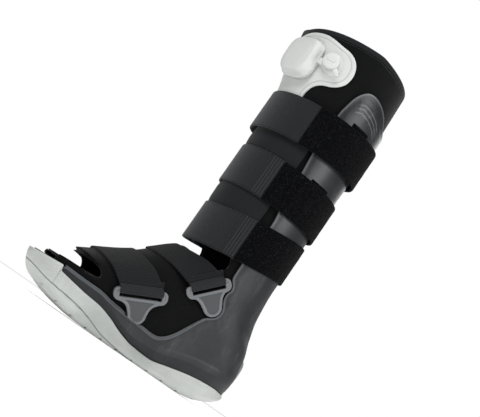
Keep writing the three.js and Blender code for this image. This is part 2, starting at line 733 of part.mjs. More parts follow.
// One line along a foot strap: share 0 is its toe edge and 1 its heel edge
function strapLine(strap, share, lift) {
  const { origin, right, up, out } = buckleFrame(strap);
  const start = origin.clone().addScaledVector(right, (share - 0.5) * strap.width);
  const join = start.clone().addScaledVector(up, BAR_TOP + 1.4);
  join.addScaledVector(out, lift > STRAP_EASE ? BUCKLE_WALL + WEBBING : -WEBBING);
  const sewn = start.clone().addScaledVector(up, BAR_TOP + 12);
  const section = footSection(crestRow(strap.toeCrest + (strap.heelCrest - strap.toeCrest) * share));
  const crest = formPoint(section, 0, lift);
  const skin = [];
  for (let turn = 78; turn >= -78; turn -= 12) {
    const raise = 2.6 * Math.max(0, -turn / 78) ** 3;
    const fall = 1 - Math.cos(turn * RAD);
    const x = crest.x + (sewn.x - crest.x) * fall;
    const z = crest.z + (sewn.z - crest.z) * fall;
    skin.push(new THREE.Vector3(x, -Math.sign(turn) * sideWidth(x, z, lift + raise), z));
  }
  const end = sidePoint(strap.toeEnd).lerp(sidePoint(strap.heelEnd), share);
  const tail = [0.1, 0.3, 0.5, 0.7, 0.85, 1].map((part) => {
    const x = sewn.x + (end.x - sewn.x) * part;
    const z = sewn.z + (end.y - sewn.z) * part;
    return new THREE.Vector3(x, shellWidth(x, z) + lift + 0.2, z);
  });
  return [join, ...skin, ...tail];
}

function footStrap(strap) {
  const shares = [0, 0.25, 0.5, 0.75, 1];
  const inside = shares.map((share) => strapLine(strap, share, STRAP_EASE));
  const outside = shares.map((share) => strapLine(strap, share, STRAP_EASE + WEBBING + 0.3)).reverse();
  const loops = inside[0].map((_, i) => [...inside, ...outside].map((line) => line[i]));
  return surface(solid(loft(loops, 'ribbon')).add(strapLoop(strap)));
}

// Air pump
function calfFrame(angle, z) {
  const turn = angle * RAD;
  return {
    origin: formPoint(legSection(z), turn, PAD_OUT + 0.3),
    right: new THREE.Vector3(Math.sin(turn), -Math.cos(turn), 0),
    up: new THREE.Vector3(0, 0, 1),
    out: new THREE.Vector3(-Math.cos(turn), -Math.sin(turn), 0),
  };
}

function padLayer(inner, outer) {
  const heights = panelHeights(BOOT_HEIGHT - PAD_DROP - 19.5, BOOT_HEIGHT - PAD_TOP_DROP);
  return solid(legPanel(-60, 96, heights, inner, outer, 13));
}

function pumpPad() {
  const outline = new THREE.Shape();
  outline.moveTo(5, -PAD_TAIL);
  outline.lineTo(6.5, 4);
  outline.bezierCurveTo(9, 16, 17, 22, 27, 25);
  outline.bezierCurveTo(37, 27.5, 45, 36, 45, 50);
  outline.bezierCurveTo(45, 62, 40, 69, 30, 70.5);
  outline.bezierCurveTo(20, 71.5, 10, 75.5, 0, 75.5);
  outline.bezierCurveTo(-30, 75, -56, 66, -56, 50);
  outline.bezierCurveTo(-56, 34, -52, 20, -48, 4);
  outline.lineTo(-46, -PAD_TAIL);
  outline.closePath();
  const frame = calfFrame(PAD_ANGLE, BOOT_HEIGHT - PAD_DROP);
  return surface(padLayer(GAP, PAD_OUT).intersect(solid(inFrame(prism(outline, 80, -60), frame))));
}

function bulbLoops(grow) {
  const levels = table(['height', 'share'], [
    [-0.6, 1], [0.2, 1.02], [0.55, 0.97], [0.8, 0.88], [0.95, 0.74], [1, 0.6],
  ]);
  const count = 20;
  const frame = calfFrame(BULB_ANGLE, BOOT_HEIGHT - BULB_DROP);
  return levels.map(({ height, share }) => Array.from({ length: count }, (_, i) => {
    const turn = i * 2 * Math.PI / count;
    const side = Math.sign(Math.cos(turn)) * Math.abs(Math.cos(turn)) ** 0.6;
    const rise = Math.sign(Math.sin(turn)) * Math.abs(Math.sin(turn)) ** 0.6;
    const reach = BULB_HALF * share + grow;
    return frame.origin.clone()
      .addScaledVector(frame.right, side * reach)
      .addScaledVector(frame.up, rise * (reach - 0.5))
      .addScaledVector(frame.out, height * BULB_HEIGHT);
  }));
}

function pumpBulb() {
  return surface(solid(loft(bulbLoops(0), 'fan')).subtract(padLayer(-20, PAD_OUT + 0.3)));
}

function disc(radius, low, high, sides) {
  const body = new THREE.CylinderGeometry(radius, radius, high - low, sides);
  body.rotateX(Math.PI / 2);
  body.translate(0, 0, (low + high) / 2);
  return body;
}

function valveSeat() {
  const frame = calfFrame(VALVE_ANGLE, BOOT_HEIGHT - VALVE_DROP);
  const neck = new THREE.BoxGeometry(12, 8, 6);
  neck.translate(-15, -4, 0);
  const body = solid(inFrame(disc(SEAT_RADIUS, -6, SEAT_HEIGHT, 20), frame)).add(solid(inFrame(neck, frame)));
  const bulb = solid(loft(bulbLoops(0.4), 'fan'));
  return surface(body.subtract(padLayer(-20, PAD_OUT + 0.3)).subtract(bulb));
}

function valveDial() {
  const low = SEAT_HEIGHT + 0.3;
  const pointer = new THREE.Shape();
  pointer.moveTo(DIAL_RADIUS - 4, -4);
  pointer.lineTo(POINTER_REACH - 2, -3);
  pointer.absarc(POINTER_REACH - 3, 0, 3, -Math.PI / 2, Math.PI / 2, false);
  pointer.lineTo(DIAL_RADIUS - 4, 4);
  pointer.closePath();
  const tab = prism(pointer, 3, low + 0.6);
  tab.rotateZ(POINTER_TURN * RAD);
  const top = disc(DIAL_RADIUS - 1.2, low, low + DIAL_HEIGHT, 20);
  const skirt = disc(DIAL_RADIUS, low, low + DIAL_HEIGHT - 1.2, 20);
  const body = solid(skirt).add(solid(top)).add(solid(tab));
  return inFrame(surface(body), calfFrame(VALVE_ANGLE, BOOT_HEIGHT - VALVE_DROP));
}

// Materials and the finished group
const LOOK = {
  rubber: { color: 0xc8cbc8, roughness: 0.6, metalness: 0 },
  shell: { color: 0x3e4246, roughness: 0.5, metalness: 0 },
  foam: { color: 0x141517, roughness: 0.95, metalness: 0 },
  loop: { color: 0x3c3f43, roughness: 0.9, metalness: 0 },
  pile: { color: 0x0b0b0d, roughness: 1, metalness: 0 },
  webbing: { color: 0x161719, roughness: 0.85, metalness: 0 },
  buckle: { color: 0x4b4e51, roughness: 0.45, metalness: 0 },
  pump: { color: 0xcdcfcc, roughness: 0.45, metalness: 0 },
};

const boot = new THREE.Group();

function addPiece(name, geometry, look) {
  const mesh = new THREE.Mesh(geometry, new THREE.MeshStandardMaterial(LOOK[look]));
  mesh.name = name;
  boot.add(mesh);
}

addPiece('outsole', outsole(), 'rubber');
addPiece('shell', shell(FOOT_STRAPS.map(buckleNotch)), 'shell');
addPiece('liner', liner(), 'foam');
addPiece('shin_flap', shinFlap(), 'foam');
CALF_STRAPS.forEach((strap, i) => {
  addPiece(`calf_strap_front_${i + 1}`, calfStrapFront(strap), 'loop');
  addPiece(`calf_strap_back_${i + 1}`, calfStrapBack(strap), 'pile');
});
HOOK_PATCHES.forEach((patch, i) => {
  addPiece(`hook_patch_${i + 1}`, hookPatch(patch), 'pile');
});
FOOT_STRAPS.forEach((strap) => {
  addPiece(`${strap.name}_strap`, footStrap(strap), 'webbing');
  addPiece(`${strap.name}_buckle`, buckle(strap), 'buckle');
});
addPiece('pump_pad', pumpPad(), 'pump');
addPiece('pump_bulb', pumpBulb(), 'pump');
addPiece('valve_seat', valveSeat(), 'pump');
addPiece('valve_dial', valveDial(), 'pump');

export default boot;
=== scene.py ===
"""Blender add-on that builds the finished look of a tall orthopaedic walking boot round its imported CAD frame.

Sizes are in millimetres in the tables and formulas, and become metres when a mesh is made.
+Z up, toes towards -X, the side with the two foot buckles towards -Y, origin on the floor under the sole.
"""

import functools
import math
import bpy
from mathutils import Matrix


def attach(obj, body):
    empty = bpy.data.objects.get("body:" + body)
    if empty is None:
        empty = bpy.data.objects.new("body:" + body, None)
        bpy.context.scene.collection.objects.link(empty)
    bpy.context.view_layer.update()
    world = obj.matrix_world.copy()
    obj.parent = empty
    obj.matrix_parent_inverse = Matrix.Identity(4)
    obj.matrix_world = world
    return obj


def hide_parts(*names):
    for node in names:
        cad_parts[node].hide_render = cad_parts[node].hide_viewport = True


bl_info = {
    "name": "Orthopaedic Walking Boot",
    "version": (1, 0, 0),
    "blender": (4, 5, 0),
    "location": "View3D > Sidebar > Boot",
    "description": "Builds a walking boot: rocker sole, shell, padded liner, straps, buckles and air pump",
    "category": "Add Mesh",
}

import bmesh
import bpy
import numpy as np
from bpy.props import FloatProperty, FloatVectorProperty, PointerProperty
from mathutils import Matrix, Vector

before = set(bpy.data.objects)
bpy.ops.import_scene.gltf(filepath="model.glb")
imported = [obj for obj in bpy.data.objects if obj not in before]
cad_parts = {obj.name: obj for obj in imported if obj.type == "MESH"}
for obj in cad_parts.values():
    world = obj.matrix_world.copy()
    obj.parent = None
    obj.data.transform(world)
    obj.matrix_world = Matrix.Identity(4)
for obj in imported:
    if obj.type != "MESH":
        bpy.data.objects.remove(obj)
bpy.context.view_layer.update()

MM = 0.001
BODY = "boot"

# Driving sizes, the same as those of the solids
BOOT_HEIGHT = 448.0
RIM_RISE = 4.0
RIM_DIP = 11.0
SOLE_LENGTH = 291.0
SOLE_WIDTH = 97.0
SOLE_HEIGHT = 45.0
TOE_X = -178.0
LEG_DEPTH = 148.0
LEG_WIDTH = 138.0
FOOT_WIDTH = 97.0
LINER_WALL = 6.0
SHELL_WALL = 3.2
GAP = 0.4
STRAP_WIDTH = 51.0
WEBBING = 2.0
FLAP_WALL = 2.6
PAD_WALL = 2.2
BUCKLE_WALL = 3.5
SHELL_IN = GAP
SHELL_OUT = SHELL_IN + SHELL_WALL
FLAP_OUT = GAP + FLAP_WALL
PAD_OUT = GAP + PAD_WALL
SHELL_SQUARE = 2.0
CREST_ROUND = 2.1
BUMPER_WALL = 4.0
BUMPER_START = 0.114
BUMPER_RISE = -3.0
STRAP_IN = FLAP_OUT + GAP
STRAP_OUT = STRAP_IN + WEBBING + 0.3
STRAP_EASE = 1.0
BUCKLE_LIFT = GAP + WEBBING + 0.5
BUCKLE_EAR = 5.2
BUCKLE_LENGTH = 31.5
BAR_BOTTOM = 3.0
BAR_TOP = 7.0
SLOT_BOTTOM = -4.0
TIP_RADIUS = 9.8
NOTCH_CLEARANCE = 3.4
PAD_ANGLE = 28.0
BULB_ANGLE = 17.0
BULB_Z = 401.5
BULB_HALF = 26.0
VALVE_ANGLE = 51.0
VALVE_Z = 408.5
SEAT_RADIUS = 12.5
SEAT_HEIGHT = 5.0
DIAL_RADIUS = 10.5
DIAL_HEIGHT = 6.5
POINTER_TURN = -39.0
ANGLE_WARP = 0.16
LAST_STOP = 26.99
ARC_MM_PER_DEGREE = LEG_WIDTH * 0.0075


def table(columns, rows):
    """The columns of a table as arrays by name."""
    return dict(zip(columns, np.array(rows, float).T))


SOLE = table(["along", "top", "tread", "half", "crease"], [
    [0.000, 0.89, 0.66, 0.12, 0.95],
    [0.020, 0.90, 0.50, 0.40, 0.96],
    [0.055, 0.89, 0.38, 0.66, 0.96],
    [0.100, 0.86, 0.29, 0.82, 0.95],
    [0.170, 0.79, 0.16, 0.95, 0.94],
    [0.235, 0.73, 0.08, 1.00, 0.92],
    [0.305, 0.69, 0.03, 0.99, 0.86],
    [0.375, 0.58, 0.01, 0.96, 0.72],
    [0.440, 0.43, 0.00, 0.93, 0.56],
    [0.510, 0.33, 0.00, 0.90, 0.49],
    [0.595, 0.30, 0.00, 0.89, 0.54],
    [0.680, 0.41, 0.00, 0.90, 0.70],
    [0.765, 0.53, 0.00, 0.91, 0.83],
    [0.845, 0.60, 0.05, 0.89, 0.89],
    [0.905, 0.62, 0.17, 0.80, 0.84],
    [0.955, 0.60, 0.30, 0.61, 0.74],
    [0.985, 0.57, 0.38, 0.36, 0.66],
    [1.000, 0.54, 0.43, 0.12, 0.62],
])
LEG = table(["height", "centre", "depth", "width"], [
    [0.335, 0.189, 0.788, 0.755],
    [0.403, 0.186, 0.793, 0.775],
    [0.492, 0.182, 0.802, 0.800],
    [0.582, 0.182, 0.814, 0.820],
    [0.671, 0.182, 0.828, 0.845],
    [0.738, 0.180, 0.852, 0.875],
    [0.817, 0.170, 0.895, 0.920],
    [0.884, 0.139, 0.950, 0.955],
    [0.940, 0.115, 0.984, 0.985],
    [1.000, 0.098, 1.000, 1.000],
])
RING_HEIGHTS = np.array([1, 0.95, 0.9, 0.85, 0.81, 0.76, 0.7, 0.63, 0.55, 0.47, 0.4, 0.355])
FOOT = table(["crestX", "crestZ", "baseX", "baseZ", "half", "wide", "round", "boxy"], [
    [-0.106, 0.3260, 0.309, 0.2720, 1.060, 0.50, 2.0, 0.0],
    [-0.110, 0.3215, 0.334, 0.2160, 1.040, 0.50, 2.0, 0.0],
    [-0.113, 0.3180, 0.358, 0.1650, 1.020, 0.50, 2.1, 0.1],
    [-0.116, 0.3160, 0.367, 0.1120, 1.010, 0.50, 2.2, 0.2],
    [-0.120, 0.3140, 0.351, 0.0775, 1.000, 0.51, 2.4, 0.4],
    [-0.123, 0.3125, 0.281, 0.0730, 0.990, 0.53, 2.7, 0.6],
    [-0.127, 0.3115, 0.178, 0.0670, 0.980, 0.55, 3.0, 0.8],
    [-0.130, 0.3100, 0.068, 0.0515, 0.980, 0.58, 3.2, 1.0],
    [-0.139, 0.3070, -0.034, 0.0410, 0.980, 0.60, 3.3, 1.0],
    [-0.158, 0.2980, -0.130, 0.0470, 0.985, 0.61, 3.4, 1.0],
    [-0.212, 0.2660, -0.212, 0.0640, 0.990, 0.62, 3.5, 1.0],
    [-0.274, 0.2320, -0.281, 0.0760, 0.990, 0.62, 3.5, 1.0],
    [-0.342, 0.2030, -0.353, 0.0825, 0.970, 0.62, 3.5, 1.0],
    [-0.408, 0.1785, -0.425, 0.0885, 0.920, 0.62, 3.4, 1.0],
    [-0.466, 0.1560, -0.493, 0.0945, 0.820, 0.60, 3.2, 1.0],
    [-0.514, 0.1370, -0.538, 0.0985, 0.680, 0.55, 3.0, 1.0],
])
SHELL_EDGE = [
    [-176, 44], [-150, 43.5], [-118, 42.5], [-97, 42.5], [-80, 40], [-62, 38.5], [-40, 37.5], [-20, 36],
    [-9, 38.5], [1, 48], [10, 64], [18.5, 81], [26, 96], [25, 112], [21.5, 131], [20, 160], [21, 190],
    [22, 218], [19, 240], [14.5, 290], [11.5, 315], [9.5, 360], [11, 378], [16, 396], [26, 406], [42, 406],
    [60, 399], [78, 386], [110, 378],
]
TOE_EDGE = [
    [-140, 96], [-134, 76], [-123, 71.5], [-112, 68], [-105.5, 62], [-103.5, 55.5], [-107, 50.5],
    [-121, 48.5],
]
INSTEP_EDGE = [
    [-62, 154], [-38, 143], [-22, 137.5], [-8, 134], [3, 135.5], [9, 141], [11, 150], [8, 160], [0, 166],
]
CALF_STRAPS = [
    dict(front=333.5, back=339.5, seam=60, band_in=5.3, band_out=8.6),
    dict(front=259.5, back=257.5, seam=59, band_in=5.3, band_out=8.2),
    dict(front=178.5, back=197.5, seam=71, band_in=4.0, band_out=7.0),
]
FOOT_STRAPS = [
    dict(name="forefoot", width=51, toe_bar=(-84, 52), heel_bar=(-31, 78), tip=(-41, 38),
         toe_crest=-119, heel_crest=-80, toe_end=(-88, 36), heel_end=(-42, 24)),
    dict(name="instep", width=40, toe_bar=(-11, 99), heel_bar=(20, 133), tip=(24, 94),
         toe_crest=-66, heel_crest=-40, toe_end=(-18, 30), heel_end=(14, 55)),
]


# Curves and sections
def slopes(x, y):
    """Slopes at the points of a curve: harmonic mean of the steps beside each, 0 at a turning point."""
    step = np.diff(y) / np.diff(x)
    before, after = step[:-1], step[1:]
    total = np.where(before + after == 0, 1, before + after)
    inner = np.where(before * after > 0, 2 * before * after / total, 0)
    return np.concatenate([step[:1], inner, step[-1:]])


def curve(x, y, at):
    """Cubic Hermite curve through the points (x, y) that doesn't overshoot, at any array of places."""
    m = slopes(x, y)
    i = np.clip(np.searchsorted(x, at, side="right") - 1, 0, len(x) - 2)
    span = x[i + 1] - x[i]
    t = (at - x[i]) / span
    ease = (1 + 2 * t) * (1 - t) ** 2 * y[i] + t * t * (3 - 2 * t) * y[i + 1]
    return ease + span * (t * (1 - t) ** 2 * m[i] + t * t * (t - 1) * m[i + 1])


def sample(rows, key, at):
    """All columns of a table at the places at of its key column."""
    return {name: curve(rows[key], column, at) for name, column in rows.items() if name != key}


def sole_at(x):
    """Top, tread, half width and crease of the sole and shell base at x, in millimetres."""
    row = sample(SOLE, "along", np.clip((x - TOE_X) / SOLE_LENGTH, 0, 1))
    return {
        "top": row["top"] * SOLE_HEIGHT,
        "tread": np.maximum(0, row["tread"] * SOLE_HEIGHT),
        "half": row["half"] * SOLE_WIDTH / 2,
        "crease": row["crease"] * SOLE_HEIGHT,
    }


def leg_section(z):
    """Section of the padded form at height z: an ellipse with its centre, depth and width from LEG."""
    row = sample(LEG, "height", np.minimum(z / BOOT_HEIGHT, 1))
    middle, reach = row["centre"] * LEG_DEPTH, row["depth"] * LEG_DEPTH / 2
    flat = np.zeros_like(middle)
    return {
        "cx": middle - reach, "cz": z + flat, "bx": middle + reach, "bz": z + flat,
        "half": row["width"] * LEG_WIDTH / 2, "wide": flat + 0.5, "round": flat + 2, "boxy": flat,
    }


def all_sections():
    """Sections from the rim to the toes, one column array per value, at the stops 0, 1, 2, ..."""
    leg = leg_section(RING_HEIGHTS * BOOT_HEIGHT)
    foot = {
        "cx": FOOT["crestX"] * SOLE_LENGTH, "cz": FOOT["crestZ"] * BOOT_HEIGHT,
        "bx": FOOT["baseX"] * SOLE_LENGTH, "bz": FOOT["baseZ"] * BOOT_HEIGHT,
        "half": FOOT["half"] * FOOT_WIDTH / 2, "wide": FOOT["wide"], "round": FOOT["round"],
        "boxy": FOOT["boxy"],
    }
    return {name: np.concatenate([leg[name], foot[name]]) for name in leg}


SECTIONS = all_sections()
STOPS = np.arange(len(SECTIONS["cx"]), dtype=float)
TOP_STEP = BOOT_HEIGHT * (RING_HEIGHTS[0] - RING_HEIGHTS[1])


def section_at(s):
    """Section at the stop s: the curve through SECTIONS, carried straight up above the rim."""
    below = np.maximum(s, 0)
    found = {name: curve(STOPS, column, below) for name, column in SECTIONS.items()}
    above = -TOP_STEP * np.minimum(s, 0)
    found["cz"] = found["cz"] + above
    found["bz"] = found["bz"] + above
    return found


def form_point(section, angle, offset, square=0.0):
    """Point of the form's skin moved outward by offset. Along the section from crest to base it lies at
    wide * reach - offset -+ half * |cos a| ** p, and across at (half + offset) * |sin a| ** p."""
    dx, dz = section["bx"] - section["cx"], section["bz"] - section["cz"]
    length = np.hypot(dx, dz)
    c, s = np.cos(angle), np.sin(angle)
    power = 2 / np.where(c > 0, CREST_ROUND, section["round"] + square * section["boxy"])
    reach = length + 2 * offset
    half = np.where(c > 0, section["wide"], 1 - section["wide"]) * reach
    run = section["wide"] * reach - offset - np.sign(c) * half * np.abs(c) ** power
    across = (section["half"] + offset) * np.sign(s) * np.abs(s) ** power
    x = section["cx"] + dx / length * run
    z = section["cz"] + dz / length * run
    return np.stack(np.broadcast_arrays(x, -across, z), -1)


def side_width(x, z, offset, square=0.0):
    """Half width of the form, grown by offset, at a point of the side view. The section through the
    point is found by halving the range of stops."""
    x, z, offset = np.broadcast_arrays(np.asarray(x, float), z, offset)
    low, high = np.full(x.shape, -0.4), np.full(x.shape, STOPS[-1])
    for _ in range(26):
        middle = (low + high) / 2
        trial = section_at(middle)
        run_x, run_z = trial["bx"] - trial["cx"], trial["bz"] - trial["cz"]
        side = run_x * (z - trial["cz"]) - run_z * (x - trial["cx"])
        high = np.where(side > 0, middle, high)
        low = np.where(side > 0, low, middle)
    section = section_at((low + high) / 2)
    dx, dz = section["bx"] - section["cx"], section["bz"] - section["cz"]
    length = np.hypot(dx, dz)
    reach = length + 2 * offset
    run = ((x - section["cx"]) * dx + (z - section["cz"]) * dz) / length + offset
    front = run < section["wide"] * reach
    power = np.where(front, CREST_ROUND, section["round"] + square * section["boxy"])
    half = np.where(front, section["wide"], 1 - section["wide"]) * reach
    share = np.minimum(1, np.abs(run - section["wide"] * reach) / half)
    return (section["half"] + offset) * (1 - share ** power) ** (1 / power)


def smooth_line(points, per_span=5):
    """Catmull-Rom curve through points, per_span steps in each span."""
    p = np.array(points, float)
    p = np.concatenate([p[:1], p, p[-1:]])
    t = np.arange(per_span)[None, :, None] / per_span
    a, b, c, d = (p[i:len(p) - 3 + i][:, None] for i in range(4))
    line = 0.5 * (2 * b + (c - a) * t + (2 * a - 5 * b + 4 * c - d) * t**2 + (3 * b - a - 3 * c + d) * t**3)
    return np.concatenate([line.reshape(-1, p.shape[1]), p[-1:]])


def polygon_distance(points, loop):
    """Signed distance of points to a closed loop in its plane, negative inside."""
    a = np.asarray(loop, float)
    b = np.roll(a, -1, 0)
    d = b - a
    size = np.maximum((d * d).sum(1), 1e-9)
    rel = points[:, None, :] - a[None]
    t = np.clip((rel * d).sum(2) / size, 0, 1)
    near = np.sqrt((((rel - t[..., None] * d) ** 2).sum(2)).min(1))
    over = (a[:, 1] > points[:, 1:2]) != (b[:, 1] > points[:, 1:2])
    rise = np.where(d[:, 1] == 0, 1e-9, d[:, 1])
    left = points[:, 0:1] < d[:, 0] * (points[:, 1:2] - a[:, 1]) / rise + a[:, 0]
    inside = ((over & left).sum(1) % 2) == 1
    return np.where(inside, -near, near)


def smooth_max(a, b, k):
    """The larger of a and b, with the corner between them rounded over k."""
    return (a + b + np.sqrt((a - b) ** 2 + k * k)) / 2


def ease(low, high, at):
    """0 below low, 1 above high and a smooth step between."""
    t = np.clip((at - low) / (high - low), 0, 1)
    return t * t * (3 - 2 * t)


def ripple(points, length, seed):
    """Gentle unevenness from -1 to 1: the mean of four sine waves of about the given wavelength."""
    random = np.random.default_rng(seed)
    total = np.zeros(points.shape[:-1])
    for _ in range(4):
        way = random.normal(size=3)
        way *= 2 * math.pi / length / np.linalg.norm(way) * random.uniform(0.7, 1.3)
        total += np.sin(points @ way + random.uniform(0, 6.28))
    return total / 4


# Meshes
def grid_faces(rows, columns, closed=False):
    """Quads of a grid of points stored row by row, closed joins the last column to the first."""
    i = np.arange(rows - 1)[:, None]
    j = np.arange(columns if closed else columns - 1)[None]
    k = (j + 1) % columns
    here, after = i * columns, (i + 1) * columns
    return np.stack([here + j, after + j, after + k, here + k], -1).reshape(-1, 4)


def strip(a, b):
    """Quads between two rows of point numbers."""
    return np.stack([a[:-1], a[1:], b[1:], b[:-1]], 1)


def plane(first, second):
    """Pairs of two parameters on a grid, and the grid's faces."""
    u, v = np.meshgrid(first, second, indexing="ij")
    return np.stack([u.ravel(), v.ravel()], 1), grid_faces(len(first), len(second))


class Build:
    """Points, faces and fields of a piece while it is put together."""

    def __init__(self):
        self.points, self.quads, self.tris, self.fields, self.count = [], [], [], {}, 0

    def add(self, points, quads=None, tris=None, **fields):
        """Adds a block of points with its own faces and returns the number of its first point."""
        points = np.asarray(points, float).reshape(-1, 3)
        start = self.count
        for name in set(self.fields) | set(fields):
            if name not in self.fields:
                self.fields[name] = [np.zeros(start)]
            value = fields.get(name, np.zeros(len(points)))
            self.fields[name].append(np.broadcast_to(np.asarray(value, float).ravel(), len(points)))
        self.points.append(points)
        self.count += len(points)
        if quads is not None:
            self.quads.append(np.asarray(quads) + start)
        if tris is not None:
            self.tris.append(np.asarray(tris) + start)
        return start

    def faces(self, quads=None, tris=None):
        """Adds faces between points that are already there."""
        if quads is not None:
            self.quads.append(np.asarray(quads))
        if tris is not None:
            self.tris.append(np.asarray(tris))

    def finish(self, name, material, weld=True, body=BODY):
        """Makes the object, turns its faces outward and rides it on its body."""
        points = np.concatenate(self.points)
        quads = np.concatenate(self.quads) if self.quads else np.zeros((0, 4), int)
        tris = np.concatenate(self.tris) if self.tris else np.zeros((0, 3), int)
        fields = {key: np.concatenate(value) for key, value in self.fields.items()}
        if weld:
            key = np.round(points, 3) + 0.0
            _, first, back = np.unique(key, axis=0, return_index=True, return_inverse=True)
            back = back.ravel()
            points, quads, tris = points[first], back[quads], back[tris]
            fields = {name_: value[first] for name_, value in fields.items()}
            split = (quads[:, 0] == quads[:, 1]) | (quads[:, 1] == quads[:, 2])
            split |= (quads[:, 2] == quads[:, 3]) | (quads[:, 3] == quads[:, 0])
            poor = quads[split]
            extra = [poor[:, [0, 1, 2]], poor[:, [0, 2, 3]]]
            quads = quads[~split]
            tris = np.concatenate([tris, *extra])
            good = (tris[:, 0] != tris[:, 1]) & (tris[:, 1] != tris[:, 2]) & (tris[:, 0] != tris[:, 2])
            tris = tris[good]
        fan = np.concatenate([quads[:, [0, 1, 2]], quads[:, [0, 2, 3]], tris])
        turned = np.cross(points[fan[:, 1]], points[fan[:, 2]])
        volume = np.einsum("ij,ij->i", points[fan[:, 0]], turned).sum()
        if volume < 0:
            quads, tris = quads[:, ::-1], tris[:, ::-1]
        mesh = bpy.data.meshes.new(name)
        mesh.vertices.add(len(points))
        mesh.vertices.foreach_set("co", (points * MM).astype(np.float32).ravel())
        loops = np.concatenate([quads.ravel(), tris.ravel()]).astype(np.int32)
        mesh.loops.add(len(loops))
        mesh.loops.foreach_set("vertex_index", loops)
        starts = np.concatenate([np.arange(len(quads)) * 4, len(quads) * 4 + np.arange(len(tris)) * 3])
        mesh.polygons.add(len(starts))
        mesh.polygons.foreach_set("loop_start", starts.astype(np.int32))
        mesh.update(calc_edges=True)
        mesh.validate()
        outward(mesh)
        mesh.polygons.foreach_set("use_smooth", np.ones(len(mesh.polygons), bool))
        for key, value in fields.items():
            layer = mesh.attributes.new(key, "FLOAT", "POINT")
            layer.data.foreach_set("value", value.astype(np.float32))
        return place_object(name, mesh, material, body)


def outward(mesh):
    """Turns the faces of every closed part of a mesh outward."""
    work = bmesh.new()
    work.from_mesh(mesh)
    bmesh.ops.recalc_face_normals(work, faces=work.faces)
    work.to_mesh(mesh)
    work.free()


def place_object(name, mesh, material, body=BODY):
    """Links a mesh as a piece that rides on a body and takes its finish from a slot."""
    if mesh.materials:
        mesh.materials.clear()
    mesh.materials.append(material)
    piece = bpy.data.objects.new(name, mesh)
    bpy.context.scene.collection.objects.link(piece)
    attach(piece, body)
    return piece


def sharpen(piece, degrees=32):
    """Keeps edges that turn by more than the given angle crisp."""
    piece.data.set_sharp_from_angle(angle=math.radians(degrees))


def trim(params, quads, distance, level):
    """Cuts a grid along distance = level and keeps what is below. Returns the points with the cut ones
    added, whole faces, cut triangles, and the cut edges in the order of their faces."""
    value = distance(params) - level
    inside = value < 0
    held = inside[quads]
    whole = quads[held.all(1)]
    part = quads[held.any(1) & ~held.all(1)]
    tris = np.concatenate([part[:, [0, 1, 2]], part[:, [0, 2, 3]]])
    count = inside[tris].sum(1)

    def turned(corner, flag):
        first = np.argmax(flag, 1)[:, None]
        return np.take_along_axis(corner, (first + np.arange(3)) % 3, 1)

    one = turned(tris[count == 1], inside[tris[count == 1]])
    two = turned(tris[count == 2], ~inside[tris[count == 2]])
    edges = np.sort(np.concatenate([one[:, [0, 1]], one[:, [0, 2]], two[:, [0, 1]], two[:, [0, 2]]]), 1)
    unique, index = np.unique(edges, axis=0, return_inverse=True)
    index = index.ravel()
    a, b = params[unique[:, 0]], params[unique[:, 1]]
    sign = value[unique[:, 0]] < 0
    low, high = np.zeros(len(unique)), np.ones(len(unique))
    for _ in range(12):
        middle = (low + high) / 2
        same = ((distance(a + (b - a) * middle[:, None]) - level) < 0) == sign
        low, high = np.where(same, middle, low), np.where(same, high, middle)
    cut = a + (b - a) * ((low + high) / 2)[:, None]
    ids = len(params) + index
    k, n = len(one), len(two)
    p1, p2, q1, q2 = ids[:k], ids[k:2 * k], ids[2 * k:2 * k + n], ids[2 * k + n:]
    small = np.concatenate([tris[count == 3], np.stack([one[:, 0], p1, p2], 1)])
    more = np.stack([q1, two[:, 1], two[:, 2], q2], 1)
    rim = np.concatenate([np.stack([p1, p2], 1), np.stack([q2, q1], 1)])
    return np.concatenate([params, cut]), np.concatenate([whole, more]), small, rim


def slide(params, distance, surface, length):
    """Parameters moved by length millimetres along the surface, in the direction in which distance grows.
    The step is the gradient of distance divided by its own size, with the surface's metric."""
    step = 2e-3
    base, here = surface(params, 0.0), distance(params)
    moved = [params + step * np.eye(2)[i] for i in range(2)]
    ds, dt = ((surface(m, 0.0) - base) / step for m in moved)
    fs, ft = ((distance(m) - here) / step for m in moved)
    a, b, c = (ds * ds).sum(1), (ds * dt).sum(1), (dt * dt).sum(1)
    det = np.maximum(a * c - b * b, 1e-6)
    u, v = (c * fs - b * ft) / det, (a * ft - b * fs) / det
    size = np.sqrt(np.maximum(fs * u + ft * v, 1e-6))
    return params + length * np.stack([u, v], 1) / size[:, None]


def trimmed_wall(build, params, quads, distance, surface, outer, inner, profile, **extra):
    """Wall of a trimmed surface: the outer skin at outer(params, depth), the inner one at inner, and
    between them rows of rim points that slide out over the edge by the profile's (out, offset) pairs."""
    level = -profile[0][0] if profile else 0.0
    params, whole, small, rim = trim(params, quads, distance, level)
    used = np.unique(np.concatenate([whole.ravel(), small.ravel()]))
    renumber = np.zeros(len(params), int)
    renumber[used] = np.arange(len(used))
    params, whole, small, rim = params[used], renumber[whole], renumber[small], renumber[rim]
    depth = -distance(params)
    fields = {name: rule(params) for name, rule in extra.items()}
    first = build.add(surface(params, outer(params, depth)), whole, small, rim=depth, **fields)
    second = build.add(surface(params, inner), whole[:, ::-1], small[:, ::-1], rim=depth, **fields)
    cut = np.unique(rim)
    order = np.zeros(len(params), int)
    order[cut] = np.arange(len(cut))
    edge = order[rim]
    rows = [first + cut]
    for out, offset in profile[1:]:
        moved = slide(params[cut], distance, surface, out + profile[0][0])
        kept = {name: rule(params[cut]) for name, rule in extra.items()}
        start = build.add(surface(moved, offset), rim=np.full(len(cut), -out - 1.0), **kept)
        rows.append(start + np.arange(len(cut)))
    rows.append(second + cut)
    for here, there in zip(rows[:-1], rows[1:]):
        build.faces(np.stack([here[edge[:, 1]], here[edge[:, 0]], there[edge[:, 0]], there[edge[:, 1]]], 1))


